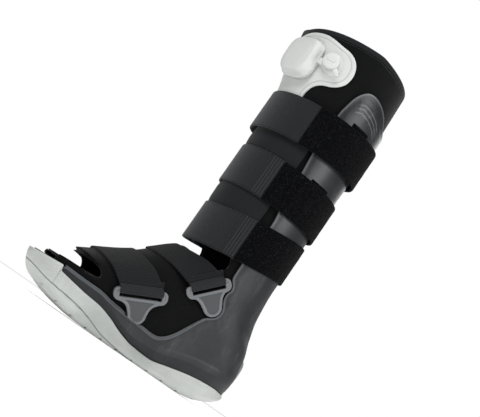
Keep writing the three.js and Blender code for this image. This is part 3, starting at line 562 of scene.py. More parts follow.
def unit(vectors):
    """Vectors divided by their lengths."""
    return vectors / np.maximum(np.linalg.norm(vectors, axis=-1, keepdims=True), 1e-9)


def tape(build, grid, thickness, along=None, across=None, **fields):
    """Closed band round a middle surface: grid[i, j] runs along i and across j. Its faces lie half the
    thickness to both sides, and its two long edges are rounded with a half circle."""
    way = unit(np.gradient(grid, axis=0))
    side = unit(np.gradient(grid, axis=1))
    normal = unit(np.cross(way, side))
    half = thickness / 2
    n, m = grid.shape[:2]
    if along is None:
        step = np.linalg.norm(np.diff(grid[:, m // 2], axis=0), axis=1)
        along = np.concatenate([[0], np.cumsum(step)])[:, None] + np.zeros((1, m))
    if across is None:
        step = np.linalg.norm(np.diff(grid, axis=1), axis=2)
        across = np.concatenate([np.zeros((n, 1)), np.cumsum(step, 1)], 1)
        across = across - across[:, -1:] / 2

    def edge(j, way_out, turn):
        """Row of points on one of the rounded long edges, at a turn from its middle."""
        return grid[:, j] + normal[:, j] * half * np.sin(turn) + way_out * side[:, j] * half * np.cos(turn)

    turns = np.radians([45, 0, -45])
    rows = [(grid[:, j] + normal[:, j] * half, j) for j in range(m)]
    rows += [(edge(-1, 1, turn), -1) for turn in turns]
    rows += [(grid[:, j] - normal[:, j] * half, j) for j in range(m - 1, -1, -1)]
    rows += [(edge(0, -1, turn), 0) for turn in turns[::-1]]
    loops = np.stack([row for row, _ in rows], 1)
    columns = [j for _, j in rows]
    count = len(rows)
    values = {"along": along[:, columns], "across": across[:, columns]}
    for name, value in fields.items():
        values[name] = np.broadcast_to(np.asarray(value, float).reshape(-1, 1), (n, count))
    faces = grid_faces(n, count, closed=True)
    start = build.add(loops, faces, **{name: value.ravel() for name, value in values.items()})
    for i in (0, n - 1):
        ring = start + i * count + np.arange(count)
        top, right, left = ring[:m], ring[m:m + 3], ring[2 * m + 3:]
        bottom = ring[m + 3:2 * m + 3][::-1]
        tris = np.array([
            [top[-1], right[0], right[1]], [top[-1], right[1], bottom[-1]], [right[1], right[2], bottom[-1]],
            [bottom[0], left[0], left[1]], [bottom[0], left[1], top[0]], [left[1], left[2], top[0]],
        ])
        flip = slice(None) if i == 0 else slice(None, None, -1)
        build.faces(strip(top, bottom)[:, flip], tris[:, flip])


def turned_body(build, place, profile, outline, sides):
    """Body of levels: each profile row gives out and the share or inset at which outline is placed."""
    loops = []
    for out, share in profile:
        flat = outline(share, sides)
        loops.append(to_frame(place, flat[:, 0], flat[:, 1], out))
    loops = np.array(loops)
    n, m = loops.shape[:2]
    start = build.add(loops, grid_faces(n, m, closed=True))
    for i in (0, n - 1):
        ring = start + i * m + np.arange(m)
        centre = build.add(loops[i].mean(0)[None])
        nxt = np.roll(ring, -1)
        fan = np.stack([np.full(m, centre), nxt, ring], 1)
        build.faces(tris=fan[:, ::-1] if i == 0 else fan)


def to_frame(place, right, up, out):
    """Points from right, up and out lengths in a frame of an origin and three directions."""
    right, up, out = np.broadcast_arrays(np.asarray(right, float), up, out)
    return (place["origin"] + right[..., None] * place["right"] + up[..., None] * place["up"]
            + out[..., None] * place["out"])


def calf_frame(angle, z):
    """Frame on the pump pad: right goes round towards the heel, up is +Z and out points away."""
    turn = math.radians(angle)
    origin = form_point(leg_section(np.array(float(z))), turn, PAD_OUT + 0.3)
    return {
        "origin": origin, "right": np.array([math.sin(turn), -math.cos(turn), 0.0]),
        "up": np.array([0.0, 0.0, 1.0]), "out": np.array([-math.cos(turn), -math.sin(turn), 0.0]),
    }


# Foot buckles
def buckle_frame(strap):
    """Frame of a foot buckle: right runs along its bar towards the heel, up points away from the tip."""
    def place(point, lift):
        x, z = point
        return np.array([x, -float(side_width(x, z, lift)), z])

    toe, heel = place(strap["toe_bar"], BUCKLE_LIFT), place(strap["heel_bar"], BUCKLE_LIFT)
    tip = place(strap["tip"], GAP + 0.8)
    origin = (toe + heel) / 2
    right = unit(heel - toe)
    up = origin - tip
    up = unit(up - right * (up @ right))
    return {"origin": origin, "right": right, "up": up, "out": np.cross(right, up)}


def bend(start, middle, end, steps=7):
    """Points of a quadratic curve without its start."""
    t = np.arange(1, steps + 1)[:, None] / steps
    a, b, c = (np.array(p, float) for p in (start, middle, end))
    return a * (1 - t) ** 2 + b * 2 * t * (1 - t) + c * t * t


def buckle_outline(width, grow):
    """Flat outline of a buckle: a bar with round ears above and a rounded tongue below."""
    half = width / 2 + BUCKLE_EAR + grow
    neck = TIP_RADIUS + 1 + grow
    low = -BUCKLE_LENGTH + TIP_RADIUS
    top = BAR_TOP + grow
    tip = np.radians(np.linspace(0, -90, 10))[:, None]
    tip = np.concatenate([(TIP_RADIUS + grow) * np.cos(tip), low + (TIP_RADIUS + grow) * np.sin(tip)], 1)
    side = np.concatenate([
        [[0, top], [half - 5, top]],
        bend((half - 5, top), (half, top), (half, 1)),
        bend((half, 1), (half, -6 - grow), (half - 7, -6.5 - grow)),
        bend((half - 7, -6.5 - grow), (neck + 2, -9 - grow), (neck, low + 3)),
        tip,
    ])
    mirrored = side[::-1] * [-1, 1]
    return np.concatenate([side, mirrored[1:-1]])


def make_buckle(strap, material):
    """Plate with a rounded raised rim round its outline and round the strap's slot, and a sunk panel
    between them that drops by 0.55 mm over 1.6 to 2.8 mm from the edge."""
    half = strap["width"] / 2 + GAP
    corner = np.radians(np.arange(0, 91, 30))
    r = 2.0
    quarter = np.stack([np.cos(corner), np.sin(corner)], 1) * r
    high, low = BAR_BOTTOM - r, SLOT_BOTTOM + r
    slot = np.concatenate([
        quarter + [half - r, high], quarter[::-1] * [-1, 1] + [-half + r, high],
        quarter * [-1, -1] + [-half + r, low], quarter[::-1] * [1, -1] + [half - r, low],
    ])
    outline = buckle_outline(strap["width"], 0)
    place = buckle_frame(strap)
    wide = half + BUCKLE_EAR + 1.5
    params, faces = plane(np.linspace(-wide, wide, 110), np.linspace(-BUCKLE_LENGTH - 1.5, BAR_TOP + 1.5, 70))

    def distance(params):
        """Signed distance to the plate: its outline with the slot cut out."""
        return np.maximum(polygon_distance(params, outline), -polygon_distance(params, slot))

    def surface(params, offset):
        """Point over the plate from right and up, in millimetres."""
        return to_frame(place, params[:, 0], params[:, 1], offset)

    def outer(_, depth):
        """Height of the face, sunk inside its raised rim."""
        return BUCKLE_WALL - 0.55 * ease(1.6, 2.8, depth)

    build = Build()
    profile = [
        (-0.9, BUCKLE_WALL), (-0.3, BUCKLE_WALL - 0.25), (0.0, BUCKLE_WALL - 0.8), (0.0, 0.7), (-0.3, 0.2),
    ]
    trimmed_wall(build, params, faces, distance, surface, outer, 0.0, profile)
    piece = build.finish(strap["name"] + "_buckle_body", material)
    sharpen(piece, 60)
    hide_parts(strap["name"] + "_buckle")
    return piece


# Shell
RIDGE_LINES = (0.0, 5.0, 10.0)
RIDGE_RISE = 0.7


def polygon_in_side_view(strap, lift):
    """Outline of a buckle's notch, seen from the side at the height of the shell's skin."""
    place = buckle_frame(strap)
    flat = buckle_outline(strap["width"], NOTCH_CLEARANCE)
    spots = to_frame(place, flat[:, 0], flat[:, 1], lift)
    return spots[:, [0, 2]]


def toe_outline(inset, stops=None):
    """Plan outline round the toe from the -Y side to the +Y side, moved inward by inset."""
    along = np.array([0.114, 0.1, 0.08, 0.055, 0.035, 0.02, 0.008, 0.001]) if stops is None else stops
    x = TOE_X + along * SOLE_LENGTH
    near = np.stack([x, -sole_at(x)["half"]], 1)
    path = np.concatenate([near, (near * [1, -1])[::-1]])
    ahead = np.concatenate([path[1:], path[-1:]])
    behind = np.concatenate([path[:1], path[:-1]])
    way = unit(ahead - behind)
    return path + inset * np.stack([way[:, 1], -way[:, 0]], 1)


def toe_room(gap):
    """Closed plan outline of the room inside the toe bumper."""
    stops = np.concatenate([np.linspace(0.114, 0.02, 16), [0.014, 0.008]])
    path = toe_outline(BUMPER_WALL + gap, stops)
    half = len(path) // 2
    near = path[:half - 1]
    far = near * [1, -1]
    edge = near[0, 0] + gap
    return np.array([[edge, -90], [200, -90], [200, 90], [edge, 90], *far.tolist(), *near[::-1].tolist()])


def side_polygon(edge, corners):
    """Closed outline in the side view: a smooth line through edge, then straight lines to the corners."""
    return np.concatenate([smooth_line(edge), np.array(corners, float)])


def warped(degrees):
    """Angle in radians, drawn away from the corners of the form so that points gather there."""
    angle = np.radians(degrees)
    return angle - ANGLE_WARP * np.sin(4 * angle)


def form_surface(params, offset, square=0.0):
    """Point of the padded form from (stop, angle in degrees), moved outward by offset."""
    return form_point(section_at(params[:, 0]), warped(params[:, 1]), offset, square)


def angle_of(degrees):
    """Parameter angle in degrees whose warped angle is the given one."""
    a = np.linspace(0, 360, 1441)
    return np.interp(degrees, np.degrees(warped(a)), a)


def shell_rule():
    """Signed distance to the shell's outline in millimetres, negative on the shell. The edge is the larger
    of the side outline, the two buckle notches on the -Y side and the room inside the toe bumper."""
    keep = side_polygon(SHELL_EDGE, [[130, 378], [130, 0], [-190, 0], [-190, 44]])
    notches = [polygon_in_side_view(strap, -2.0) for strap in FOOT_STRAPS]
    room = toe_room(GAP)

    def distance(params):
        """Signed distance to the edges of the shell for pairs of stop and angle."""
        p = form_surface(params, SHELL_OUT, SHELL_SQUARE)
        side = p[:, [0, 2]]
        value = polygon_distance(side, keep)
        near = p[:, 1] < 0
        for notch in notches:
            cut = -polygon_distance(side, notch)
            value = np.where(near, smooth_max(value, cut, 2.5), value)
        inside = polygon_distance(p[:, :2], room)
        return np.where(p[:, 0] < -120, np.maximum(value, inside), value)

    return distance


def shell_skirt(build):
    """Base of the shell: it flares out from the crease down to the sole. Every station is a line from the
    middle outward, straight across the foot and fanned round the heel."""
    xs = np.linspace(-143.4, 40, 66)
    turns = np.radians(np.linspace(90, 0, 26))[1:]
    ox = np.concatenate([xs, np.full(len(turns), 40.0)])
    way = np.concatenate([np.stack([xs * 0, xs * 0 + 1], 1), np.stack([np.cos(turns), np.sin(turns)], 1)])
    ox = np.concatenate([ox, ox[::-1][1:]])
    way = np.concatenate([way, (way * [1, -1])[::-1][1:]])

    def reach(half_width, high):
        """Length along each station at which the given half width is reached, up to high."""
        low, top = np.full(len(ox), 2.0), np.full(len(ox), high)
        for _ in range(22):
            middle = (low + top) / 2
            inside = half_width(ox + way[:, 0] * middle) > np.abs(way[:, 1]) * middle
            low, top = np.where(inside, middle, low), np.where(inside, top, middle)
        return (low + top) / 2

    def sole_half(x):
        """Half width of the sole at x, zero past its ends."""
        return np.where((x > TOE_X) & (x < TOE_X + SOLE_LENGTH), sole_at(x)["half"], 0.0)

    sole = reach(sole_half, 90.0)
    station = ox + way[:, 0] * sole * 0.9
    row = sole_at(station)
    top, crease = row["top"] + GAP, row["crease"]
    high = crease + 16
    edge = smooth_line(SHELL_EDGE[:10])
    limit = np.minimum(high, np.where(station < 1, np.interp(station, edge[:, 0], edge[:, 1]) - 0.1, high))
    clipped = limit < high - 0.5
    outer = reach(lambda x: side_width(x, high, SHELL_OUT, SHELL_SQUARE), 90.0)
    upper = np.maximum(outer + 0.2, np.minimum(sole, outer + 2))
    middle = np.maximum(upper - 1.2, 4)
    under = 1.0 + 0.22 * np.maximum(crease - top - 3, 0)
    low = np.minimum(sole - 1.5, middle - np.minimum(under, 4.5))
    stops = np.concatenate([np.linspace(0, 0.42, 7), np.linspace(0.47, 0.95, 11), [0.985, 1.0]])
    loops = []
    for t in stops:
        z = np.where(t < 0.45, top + (crease - top) * t / 0.42, crease + (limit - crease) * (t - 0.42) / 0.58)
        part = np.clip((z - crease) / (high - crease), 0, 1)
        flare = np.where(t < 0.45, low + (middle - low) * t / 0.42, middle + (upper - middle) * part)
        body = reach(lambda x, z=z: side_width(x, z, SHELL_OUT, SHELL_SQUARE), 90.0)
        fade = np.where(clipped, 0.15 * ease(0.9, 1.0, t), ease(0.62, 1.0, t))
        r = smooth_max(flare - 6 * fade, body + 0.06, 0.6) if t > 0.42 else smooth_max(flare, body - 4, 0.5)
        if t <= 0.42:
            r = np.minimum(r, np.maximum(flare, 4))
        loops.append(np.stack([ox + way[:, 0] * r, way[:, 1] * r, z], 1))
    loops = np.array(loops)
    inner = loops[::-1].copy()
    inner[:, :, 0] = ox + (inner[:, :, 0] - ox) * 0.93
    inner[:, :, 1] *= 0.93
    ring = np.concatenate([loops, inner])
    n, m = ring.shape[:2]
    height = np.concatenate([np.repeat(stops, m), np.repeat(stops[::-1], m)])
    ring_index = np.arange(n * m).reshape(n, m)
    quads = []
    for i in range(n):
        a, b = ring_index[i], ring_index[(i + 1) % n]
        quads.append(np.stack([a[:-1], b[:-1], b[1:], a[1:]], 1))
    lip = np.where(clipped, limit, 999.0)[None] - ring[:, :, 2]
    # skirt holds the share up the base; the shell's material paints shade on the part below the crease
    start = build.add(ring, np.concatenate(quads), rim=np.minimum(lip, 60.0), skirt=height + 0.001)
    for column, flip in ((0, False), (m - 1, True)):
        half = n // 2
        a, b = ring_index[:half, column], ring_index[half:, column][::-1]
        cap = strip(a, b) + start
        build.faces(cap[:, ::-1] if flip else cap)


def toe_floor(build):
    """Floor of the shell inside the toe bumper: a slab over the sole, its plan the room inside the bumper."""
    path = toe_outline(BUMPER_WALL + GAP, np.concatenate([np.linspace(0.114, 0.02, 16), [0.014, 0.008]]))
    near = path[:len(path) // 2]
    order = np.argsort(near[:, 0])
    x = np.concatenate([np.linspace(near[:, 0].min() + 0.3, -146, 22), [-142.0, -136.0]])
    half = np.interp(x, near[order, 0], -near[order, 1])
    half[-2:] = half[-3] - 3
    top = 43.7 - 0.5 * (x + 176) / 30
    low = sole_at(x)["top"] + GAP
    side = [
        (1.0, 0.0, 0.0), (1.0, 0.0, 0.75), (1.0, 0.35, 0.93), (1.0, 1.0, 1.0), (0.6, 0.0, 1.0),
        (0.25, 0.0, 1.0),
    ]
    right = [np.stack([x, half * share - inset, low + (top - low) * up], 1) for share, inset, up in side]
    loops = np.stack(right + [row * [1, -1, 1] for row in right[::-1]], 1)
    n, m = loops.shape[:2]
    start = build.add(loops, grid_faces(n, m, closed=True), rim=60.0)
    for i in (0, n - 1):
        ring = start + i * m + np.arange(m)
        a, b = ring[:m // 2], ring[m // 2:][::-1]
        build.faces(strip(a, b))


def make_shell(material, sizes):
    """Moulded shell: the form's skin at SHELL_OUT, trimmed by shell_rule with a rounded rim, and its base."""
    build = Build()
    rise = sizes.ridge_rise / MM
    distance = shell_rule()
    stops = np.concatenate([
        np.linspace(1.2, 12, 110), np.linspace(12, 22.5, 68)[1:], np.linspace(22.5, 25, 131)[1:],
        np.linspace(25, LAST_STOP, 14)[1:],
    ])
    angles = angle_of(np.linspace(54, 306, 150))
    params, faces = plane(stops, angles)

    def surface(p, offset):
        """Point of the form with the corners of the shell."""
        return form_surface(p, offset, SHELL_SQUARE)

    def outer(p, depth):
        """Offset of the skin, with a fine groove along the rim and the raised ridges."""
        groove = -0.35 * ease(1.6, 2.6, depth) * (1 - ease(3.4, 4.6, depth))
        from_line = np.abs(arc(p)[:, None] - np.array(RIDGE_LINES)).min(axis=1)
        return SHELL_OUT + groove + rise * ridge(p) * (1 - ease(0.2, 1.2, from_line))

    def crown(p):
        """0 below the upper end of the shell and 1 on it."""
        spot = form_surface(p, SHELL_OUT)
        return ease(352, 366, spot[:, 2])

    def ridge(p):
        """1 where the raised ridges run, faded at both ends."""
        turned = np.degrees(warped(p[:, 1])) - 90
        return crown(p) * ease(-3, 2, turned) * (1 - ease(33, 36, turned))

    arch = np.array([[-8, 376], [-2, 388], [6, 392.5], [16, 391], [26, 387], [35, 380], [48, 368]], float)

    def arc(p):
        """How far a point is below the arch of the uppermost ridge."""
        turned = np.degrees(warped(p[:, 1])) - 90
        return np.interp(turned, arch[:, 0], arch[:, 1]) - form_surface(p, SHELL_OUT)[:, 2]

    profile = [(-0.9, SHELL_OUT), (-0.35, SHELL_OUT - 0.2), (0.0, SHELL_OUT - 0.9), (0.0, SHELL_IN + 0.5)]
    trimmed_wall(build, params, faces, distance, surface, outer, SHELL_IN, profile,
                 crown=crown, ridge=ridge, arc=arc)
    shell_skirt(build)
    toe_floor(build)
    piece = build.finish("shell_body", material)
    sharpen(piece, 50)
    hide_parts("shell")
    return piece


# Outsole
# Heights over x of the moulded line on the sole's wall; the rubber is darkened along it as painted shade
SOLE_LINE = (
    np.array([-178.0, -149, -113, -91, -63, -17, 120]),
    np.array([30.0, 22, 18, 13, 5, 0, -9]),
)
GROOVES = 12
GROOVE_START = 0.0962
GROOVE_STEP = 0.0756
GROOVE_WIDTH = 3.0
GROOVE_DEPTH = 2.2


def groove_places():
    """Places of the tread grooves along the sole, in millimetres."""
    return TOE_X + (GROOVE_START + GROOVE_STEP * np.arange(GROOVES)) * SOLE_LENGTH


def tread_groove(x, sizes):
    """How deep the tread is cut at x: flat-bottomed grooves with steep walls."""
    away = np.abs(x[..., None] - groove_places()).min(axis=-1)
    half = sizes.groove_width / MM / 2
    return sizes.groove_depth / MM * (1 - ease(half - 0.3, half + 0.1, away))


def sole_plan(sizes, count=220):
    """Plan outline of the sole from the toe tip along the -Y side to the heel, as x and half width, with
    stations of its own at the walls of each tread groove."""
    t = np.linspace(0, 1, count)
    along = (1 - np.cos(math.pi * t)) / 2
    along = 0.75 * along + 0.25 * t
    x = TOE_X + along * SOLE_LENGTH
    wall = sizes.groove_width / MM / 2 + np.array([-1.0, -0.3, -0.1, 0.1, 0.5])
    wall = np.concatenate([-wall[::-1], wall])
    cuts = (groove_places()[:, None] + wall).ravel()
    clear = np.abs(x[:, None] - cuts).min(axis=1) > 0.25
    clear[[0, -1]] = True
    x = np.sort(np.concatenate([x[clear], cuts]))
    return x, sole_at(x)["half"]


def make_outsole(material, sizes):
    """Rocker sole. Each plan point P is scaled towards the middle line by a share: the wall runs from the
    top down to the tread, bulges slightly, rounds under and closes on the middle line. Grooves are cut across
    the tread out to its edge. The toe bumper and the heel tab stand on it."""
    build = Build()
    x, half = sole_plan(sizes)
    near = np.stack([x, -half], 1)
    centre_x = np.clip(x, TOE_X + 46, TOE_X + SOLE_LENGTH - 40)
    plan = np.concatenate([near, (near * [1, -1])[::-1]])
    middle = np.concatenate([centre_x, centre_x[::-1]])
    row = sole_at(plan[:, 0])
    start = TOE_X + BUMPER_START * SOLE_LENGTH
    toe = np.maximum(0, start - plan[:, 0]) / (start - TOE_X)
    lip = SOLE_HEIGHT + BUMPER_RISE * toe
    step = ease(-0.4, 1.6, start - plan[:, 0])
    edge = row["top"] + (np.maximum(lip, row["top"]) - row["top"]) * step
    # Share, inset, how far up from the tread (0) to the edge (1), drop
    rows = [
        (0.94, 0.0, 0.30, 0.0), (0.963, 0.0, 0.40, 0.0), (0.98, 0.0, 0.52, 0.0), (0.992, 0.0, 0.65, 0.0),
        (0.998, 0.0, 0.78, 0.0), (1.0, 0.0, 0.88, 0.0), (1.0, 0.15, 0.955, 0.0), (1.0, 0.55, 0.99, 0.0),
        (1.0, 1.1, 1.0, 0.0), (1.0, 2.2, 1.0, 0.0), (1.0, 3.2, 1.0, 0.0), (1.0, 3.8, 1.0, 0.5),
        (1.0, 4.0, 1.0, 1.0), (0.5, 4.0, 1.0, 1.0), (0.0, 4.0, 1.0, 1.0),
    ]
    flat_rows = [(share, 0.0, None, 0.0) for share in np.linspace(0, 0.62, 30)]
    under = np.linspace(0.62, 0.905, 19)[1:]
    lift = np.interp(under, [0.62, 0.72, 0.80, 0.86, 0.905], [0, 0.018, 0.055, 0.115, 0.20])
    rows = flat_rows + [(share, 0.0, up, 0.0) for share, up in zip(under, lift)] + rows
    loops, walls = [], []
    for share, inset, up, drop in rows:
        flat = np.stack([middle + (plan[:, 0] - middle) * share, plan[:, 1] * share], 1)
        if inset:
            inward = unit(np.stack([middle - plan[:, 0], -plan[:, 1]], 1))
            room = np.hypot(middle - plan[:, 0], plan[:, 1])
            flat = flat + inward * np.minimum(inset, room * 0.8)[:, None]
        tread = sole_at(flat[:, 0])["tread"]
        if up is None:
            z = tread
        else:
            z = tread + (edge - tread) * up
            z = z - drop * np.maximum(0, edge - sole_at(flat[:, 0])["top"])
        z = np.maximum(z, tread + tread_groove(flat[:, 0], sizes))
        loops.append(np.stack([flat[:, 0], flat[:, 1], z], 1))
        walls.append(np.full(len(flat), -1.0 if up is None else up))
    loops = np.array(loops)
    n, m = loops.shape[:2]
    # line is the height over the moulded line, along which the rubber paints shade
    mark = curve(*SOLE_LINE, loops[..., 0])
    build.add(loops, grid_faces(n, m, closed=True), up=np.concatenate(walls), line=loops[..., 2] - mark)
    heel_tab(build)
    piece = build.finish("outsole_body", material)
    sharpen(piece, 45)
    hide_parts("outsole")
    return piece


def heel_back(y, z, offset):
    """Back of the heel at a height, where the form grown by offset is as wide as y."""
    y, z = np.broadcast_arrays(y, z)
    low, high = np.full(y.shape, 60.0), np.full(y.shape, 125.0)
    for _ in range(24):
        middle = (low + high) / 2
        inside = side_width(middle, z, offset, SHELL_SQUARE) > np.abs(y)
        low, high = np.where(inside, middle, low), np.where(inside, high, middle)
    return low


def heel_tab(build):
    """Tab of the sole that stands up behind the heel and leans out at its top."""
    heights = np.array([22, 30, 38, 46, 54, 60, 65, 69, 72, 74.0])
    shares = np.linspace(-1, 1, 17)
    narrow = 1 - 0.22 * ease(64, 74.5, heights)
    y = shares[:, None] * 15.0 * narrow[None]
    x = heel_back(y, np.maximum(heights, 34)[None] + 0 * y, SHELL_OUT + GAP)
    z = heights[None] + 0 * y
    inner = np.stack([x, y, z], -1)
    spur = 2.2 + 3.0 * np.maximum(0, 1 - np.abs(heights - 68) / 22) - 1.2 * ease(71, 74, heights)
    thin = (1 - 0.25 * np.abs(shares) ** 4)[:, None, None]
    outer = inner + np.stack([spur, spur * 0, spur * 0], -1)[None] * thin
    ring = np.concatenate([inner, outer[:, ::-1]], 1)
    n, m = ring.shape[:2]
    start = build.add(ring, grid_faces(n, m, closed=True), up=0.8)
    for i in (0, n - 1):
        row = start + i * m + np.arange(m)
        a, b = row[:m // 2], row[m // 2:][::-1]
        cap = strip(a, b)
        build.faces(cap if i else cap[:, ::-1])


# Liner and soft parts
def liner_rule():
    """Signed distance to the liner's edges: the openings at the toes and at the instep and the toe bumper."""
    toes = side_polygon(TOE_EDGE, [[-190, 48.5], [-190, 96]])
    instep = side_polygon(INSTEP_EDGE, [[-62, 166]])
    room = toe_room(2 * GAP)

    def distance(params):
        """Signed distance to the edges of the liner for pairs of stop and angle."""
        p = form_surface(params, 0.0)
        side = p[:, [0, 2]]
        value = smooth_max(-polygon_distance(side, toes), -polygon_distance(side, instep), 1.0)
        inside = polygon_distance(p[:, :2], room)
        return np.where(p[:, 0] < -120, np.maximum(value, inside), value)

    return distance


def rim_stop(angle):
    """Stop of the rim's top at an angle: the rim rises at the sides and dips at the front and back."""
    return -(RIM_RISE - RIM_DIP * np.cos(angle) ** 2) / TOP_STEP


def make_liner(material):
    """Padded liner: the form's skin and the same 6 mm inside, softly uneven, open at the rim, at the
    instep and at the toes, with full round edges."""
    build = Build()
    distance = liner_rule()
    n, m = 210, 150
    angles = np.linspace(0, 360, m)
    t = np.linspace(0, 1, n)
    top = rim_stop(np.radians(angles))
    half = LINER_WALL / 2
    start = top + half * 0.9 / TOP_STEP
    s = start[None] + (LAST_STOP - start[None]) * t[:, None]
    params = np.stack([s.ravel(), np.broadcast_to(angles, s.shape).ravel()], 1)

    def outer(p, depth):
        """Offset of the skin, softly uneven away from the edges."""
        skin = form_surface(p, 0.0)
        soft = 0.22 * ripple(skin, 46, 3) + 0.12 * ripple(skin, 17, 4)
        return soft * ease(2, 10, depth) - 0.1

    profile = [(-2.2, 0.0), (-1.0, -0.45), (-0.2, -1.6), (0.0, -3.0), (-0.2, -4.4), (-1.0, -5.5)]

    def below_rim(p):
        """How far a point is below the rim's top."""
        return (p[:, 0] - rim_stop(np.radians(p[:, 1]))) * TOP_STEP

    trimmed_wall(build, params, grid_faces(n, m), distance, form_surface, outer, -LINER_WALL, profile,
                 below=below_rim)
    turns = np.radians(np.linspace(90, -90, 9))
    loops = []
    for turn in turns:
        s_row = top + half * 0.9 * (1 - np.cos(turn)) / TOP_STEP
        offset = -half + half * np.sin(turn) - (0.1 if turn > 1.5 else 0.0)
        loops.append(form_surface(np.stack([s_row, angles], 1), offset))
    build.add(np.array(loops), grid_faces(len(turns), m), rim=30.0, below=0.5)
    piece = build.finish("liner_body", material)
    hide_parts("liner")
    return piece


def leg_point(z, angle, offset):
    """Point on the leg of the form at height z and an angle in degrees, moved outward by offset."""
    return form_point(leg_section(np.asarray(z, float)), np.radians(angle), offset)


def make_flap(material):
    """Padded flap over the shin. It swells between the straps: its mid skin stands out by
    swell * sin(pi * t) ** 2 between two straps and lies flat under them."""
    build = Build()
    angles = np.linspace(-72, 72, 97)
    heights = np.linspace(160.5, 348.5, 120)
    a, z = np.meshgrid(angles, heights, indexing="ij")
    gaps = [(204, 234), (285, 308)]
    swell = sum(ease(low - 4, low + 9, z) * (1 - ease(high - 9, high + 4, z)) for low, high in gaps)
    skin = leg_point(z, a, 0)
    edge = 1 - ease(64, 72, np.abs(a))
    soft = 0.25 * ripple(skin, 38, 11) + 0.15 * ripple(skin, 14, 12)
    grid = leg_point(z, a, (GAP + FLAP_OUT) / 2 + swell * (1.3 * edge + soft))
    tape(build, grid, FLAP_WALL - 0.2, across=z - 254)
    piece = build.finish("shin_flap_body", material)
    sharpen(piece, 60)
    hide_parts("shin_flap")
    return piece


def make_hook_patches(material):
    """Two patches of hook tape on the upright of the shell, half covered by the straps."""
    for number, (start, end, low, high) in enumerate([(94, 116, 322, 368), (92, 117, 240, 287)], 1):
        build = Build()
        a, z = np.meshgrid(np.linspace(start, end, 30), np.linspace(low, high, 50), indexing="ij")
        tape(build, leg_point(z, a, SHELL_OUT + 0.8), 1.0, across=z - (low + high) / 2)
        piece = build.finish(f"hook_patch_{number}_body", material)
        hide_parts(f"hook_patch_{number}")


# Calf straps
def strap_heights(strap, angle, across):
    """Height of a calf strap's line at an angle: the middle goes from front to back with a cosine."""
    share = 0.5 - 0.5 * np.cos(np.radians(angle))
    return strap["front"] + (strap["back"] - strap["front"]) * share + across


def band_point(strap, angle, across, offset):
    """Point on a calf strap: the leg's ellipse at the strap's upper edge, set at the line's own height."""
    high = strap_heights(strap, angle, STRAP_WIDTH / 2)
    point = form_point(leg_section(high), np.radians(angle), offset)
    point[..., 2] = strap_heights(strap, angle, across)
    return point


def make_calf_strap(number, strap, loop, pile):
    """A calf strap: the front of short loop cloth up to the seams and the back of deep pile. The back
    band starts on the seam, sinks from the front's level to its own and is thicker."""
    edge = STRAP_WIDTH / 2 - 1.15
    build = Build()
    seam = strap["seam"]
    a, v = np.meshgrid(np.linspace(-seam, seam, 100), np.linspace(-edge, edge, 24), indexing="ij")
    tape(build, band_point(strap, a, v, (STRAP_IN + STRAP_OUT) / 2), STRAP_OUT - STRAP_IN, across=v,
         along=(seam - np.abs(a)) * ARC_MM_PER_DEGREE, stitched=np.full(len(a), 0.0 if number == 1 else 1.0))
    front = build.finish(f"calf_strap_front_{number}_body", loop)
    sharpen(front, 60)
    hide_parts(f"calf_strap_front_{number}")

    build = Build()
    end = seam + 0.5
    a, v = np.meshgrid(np.linspace(end, 360 - end, 260), np.linspace(-edge, edge, 34), indexing="ij")
    turned = np.minimum(a, 360 - a) - end
    lift = 1 - ease(0, 24, turned)
    wall = strap["band_out"] - strap["band_in"]
    inner = strap["band_in"] + (STRAP_IN + 0.2 - strap["band_in"]) * lift
    grid = band_point(strap, a, v, inner + wall / 2)
    rough = 0.16 * ripple(grid, 9, 20 + number) + 0.12 * ripple(grid, 4.5, 30 + number)
    grid = band_point(strap, a, v, inner + wall / 2 + rough * ease(0, 3, turned))
    tape(build, grid, wall - 0.4, across=v, along=turned * ARC_MM_PER_DEGREE)
    back = build.finish(f"calf_strap_back_{number}_body", pile)
    sharpen(back, 60)
    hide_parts(f"calf_strap_back_{number}")


# Foot straps
def shell_width(x, z):
    """Half width of the shell's outer face: the form or, near the sole, the flaring base."""
    row = sole_at(x)
    high = row["crease"] + 16
    outer = side_width(x, high, SHELL_OUT, SHELL_SQUARE)
    upper = np.maximum(outer + 0.2, np.minimum(row["half"], outer + 2))
    flare = np.where(z > high, 0, upper - 0.6)
    return np.maximum(side_width(x, z, SHELL_OUT, SHELL_SQUARE), flare)


def crest_stop(x):
    """Stop of the section whose crest is at x."""
    s = np.linspace(12, 27, 600)
    return np.interp(-x, -section_at(s)["cx"], s)


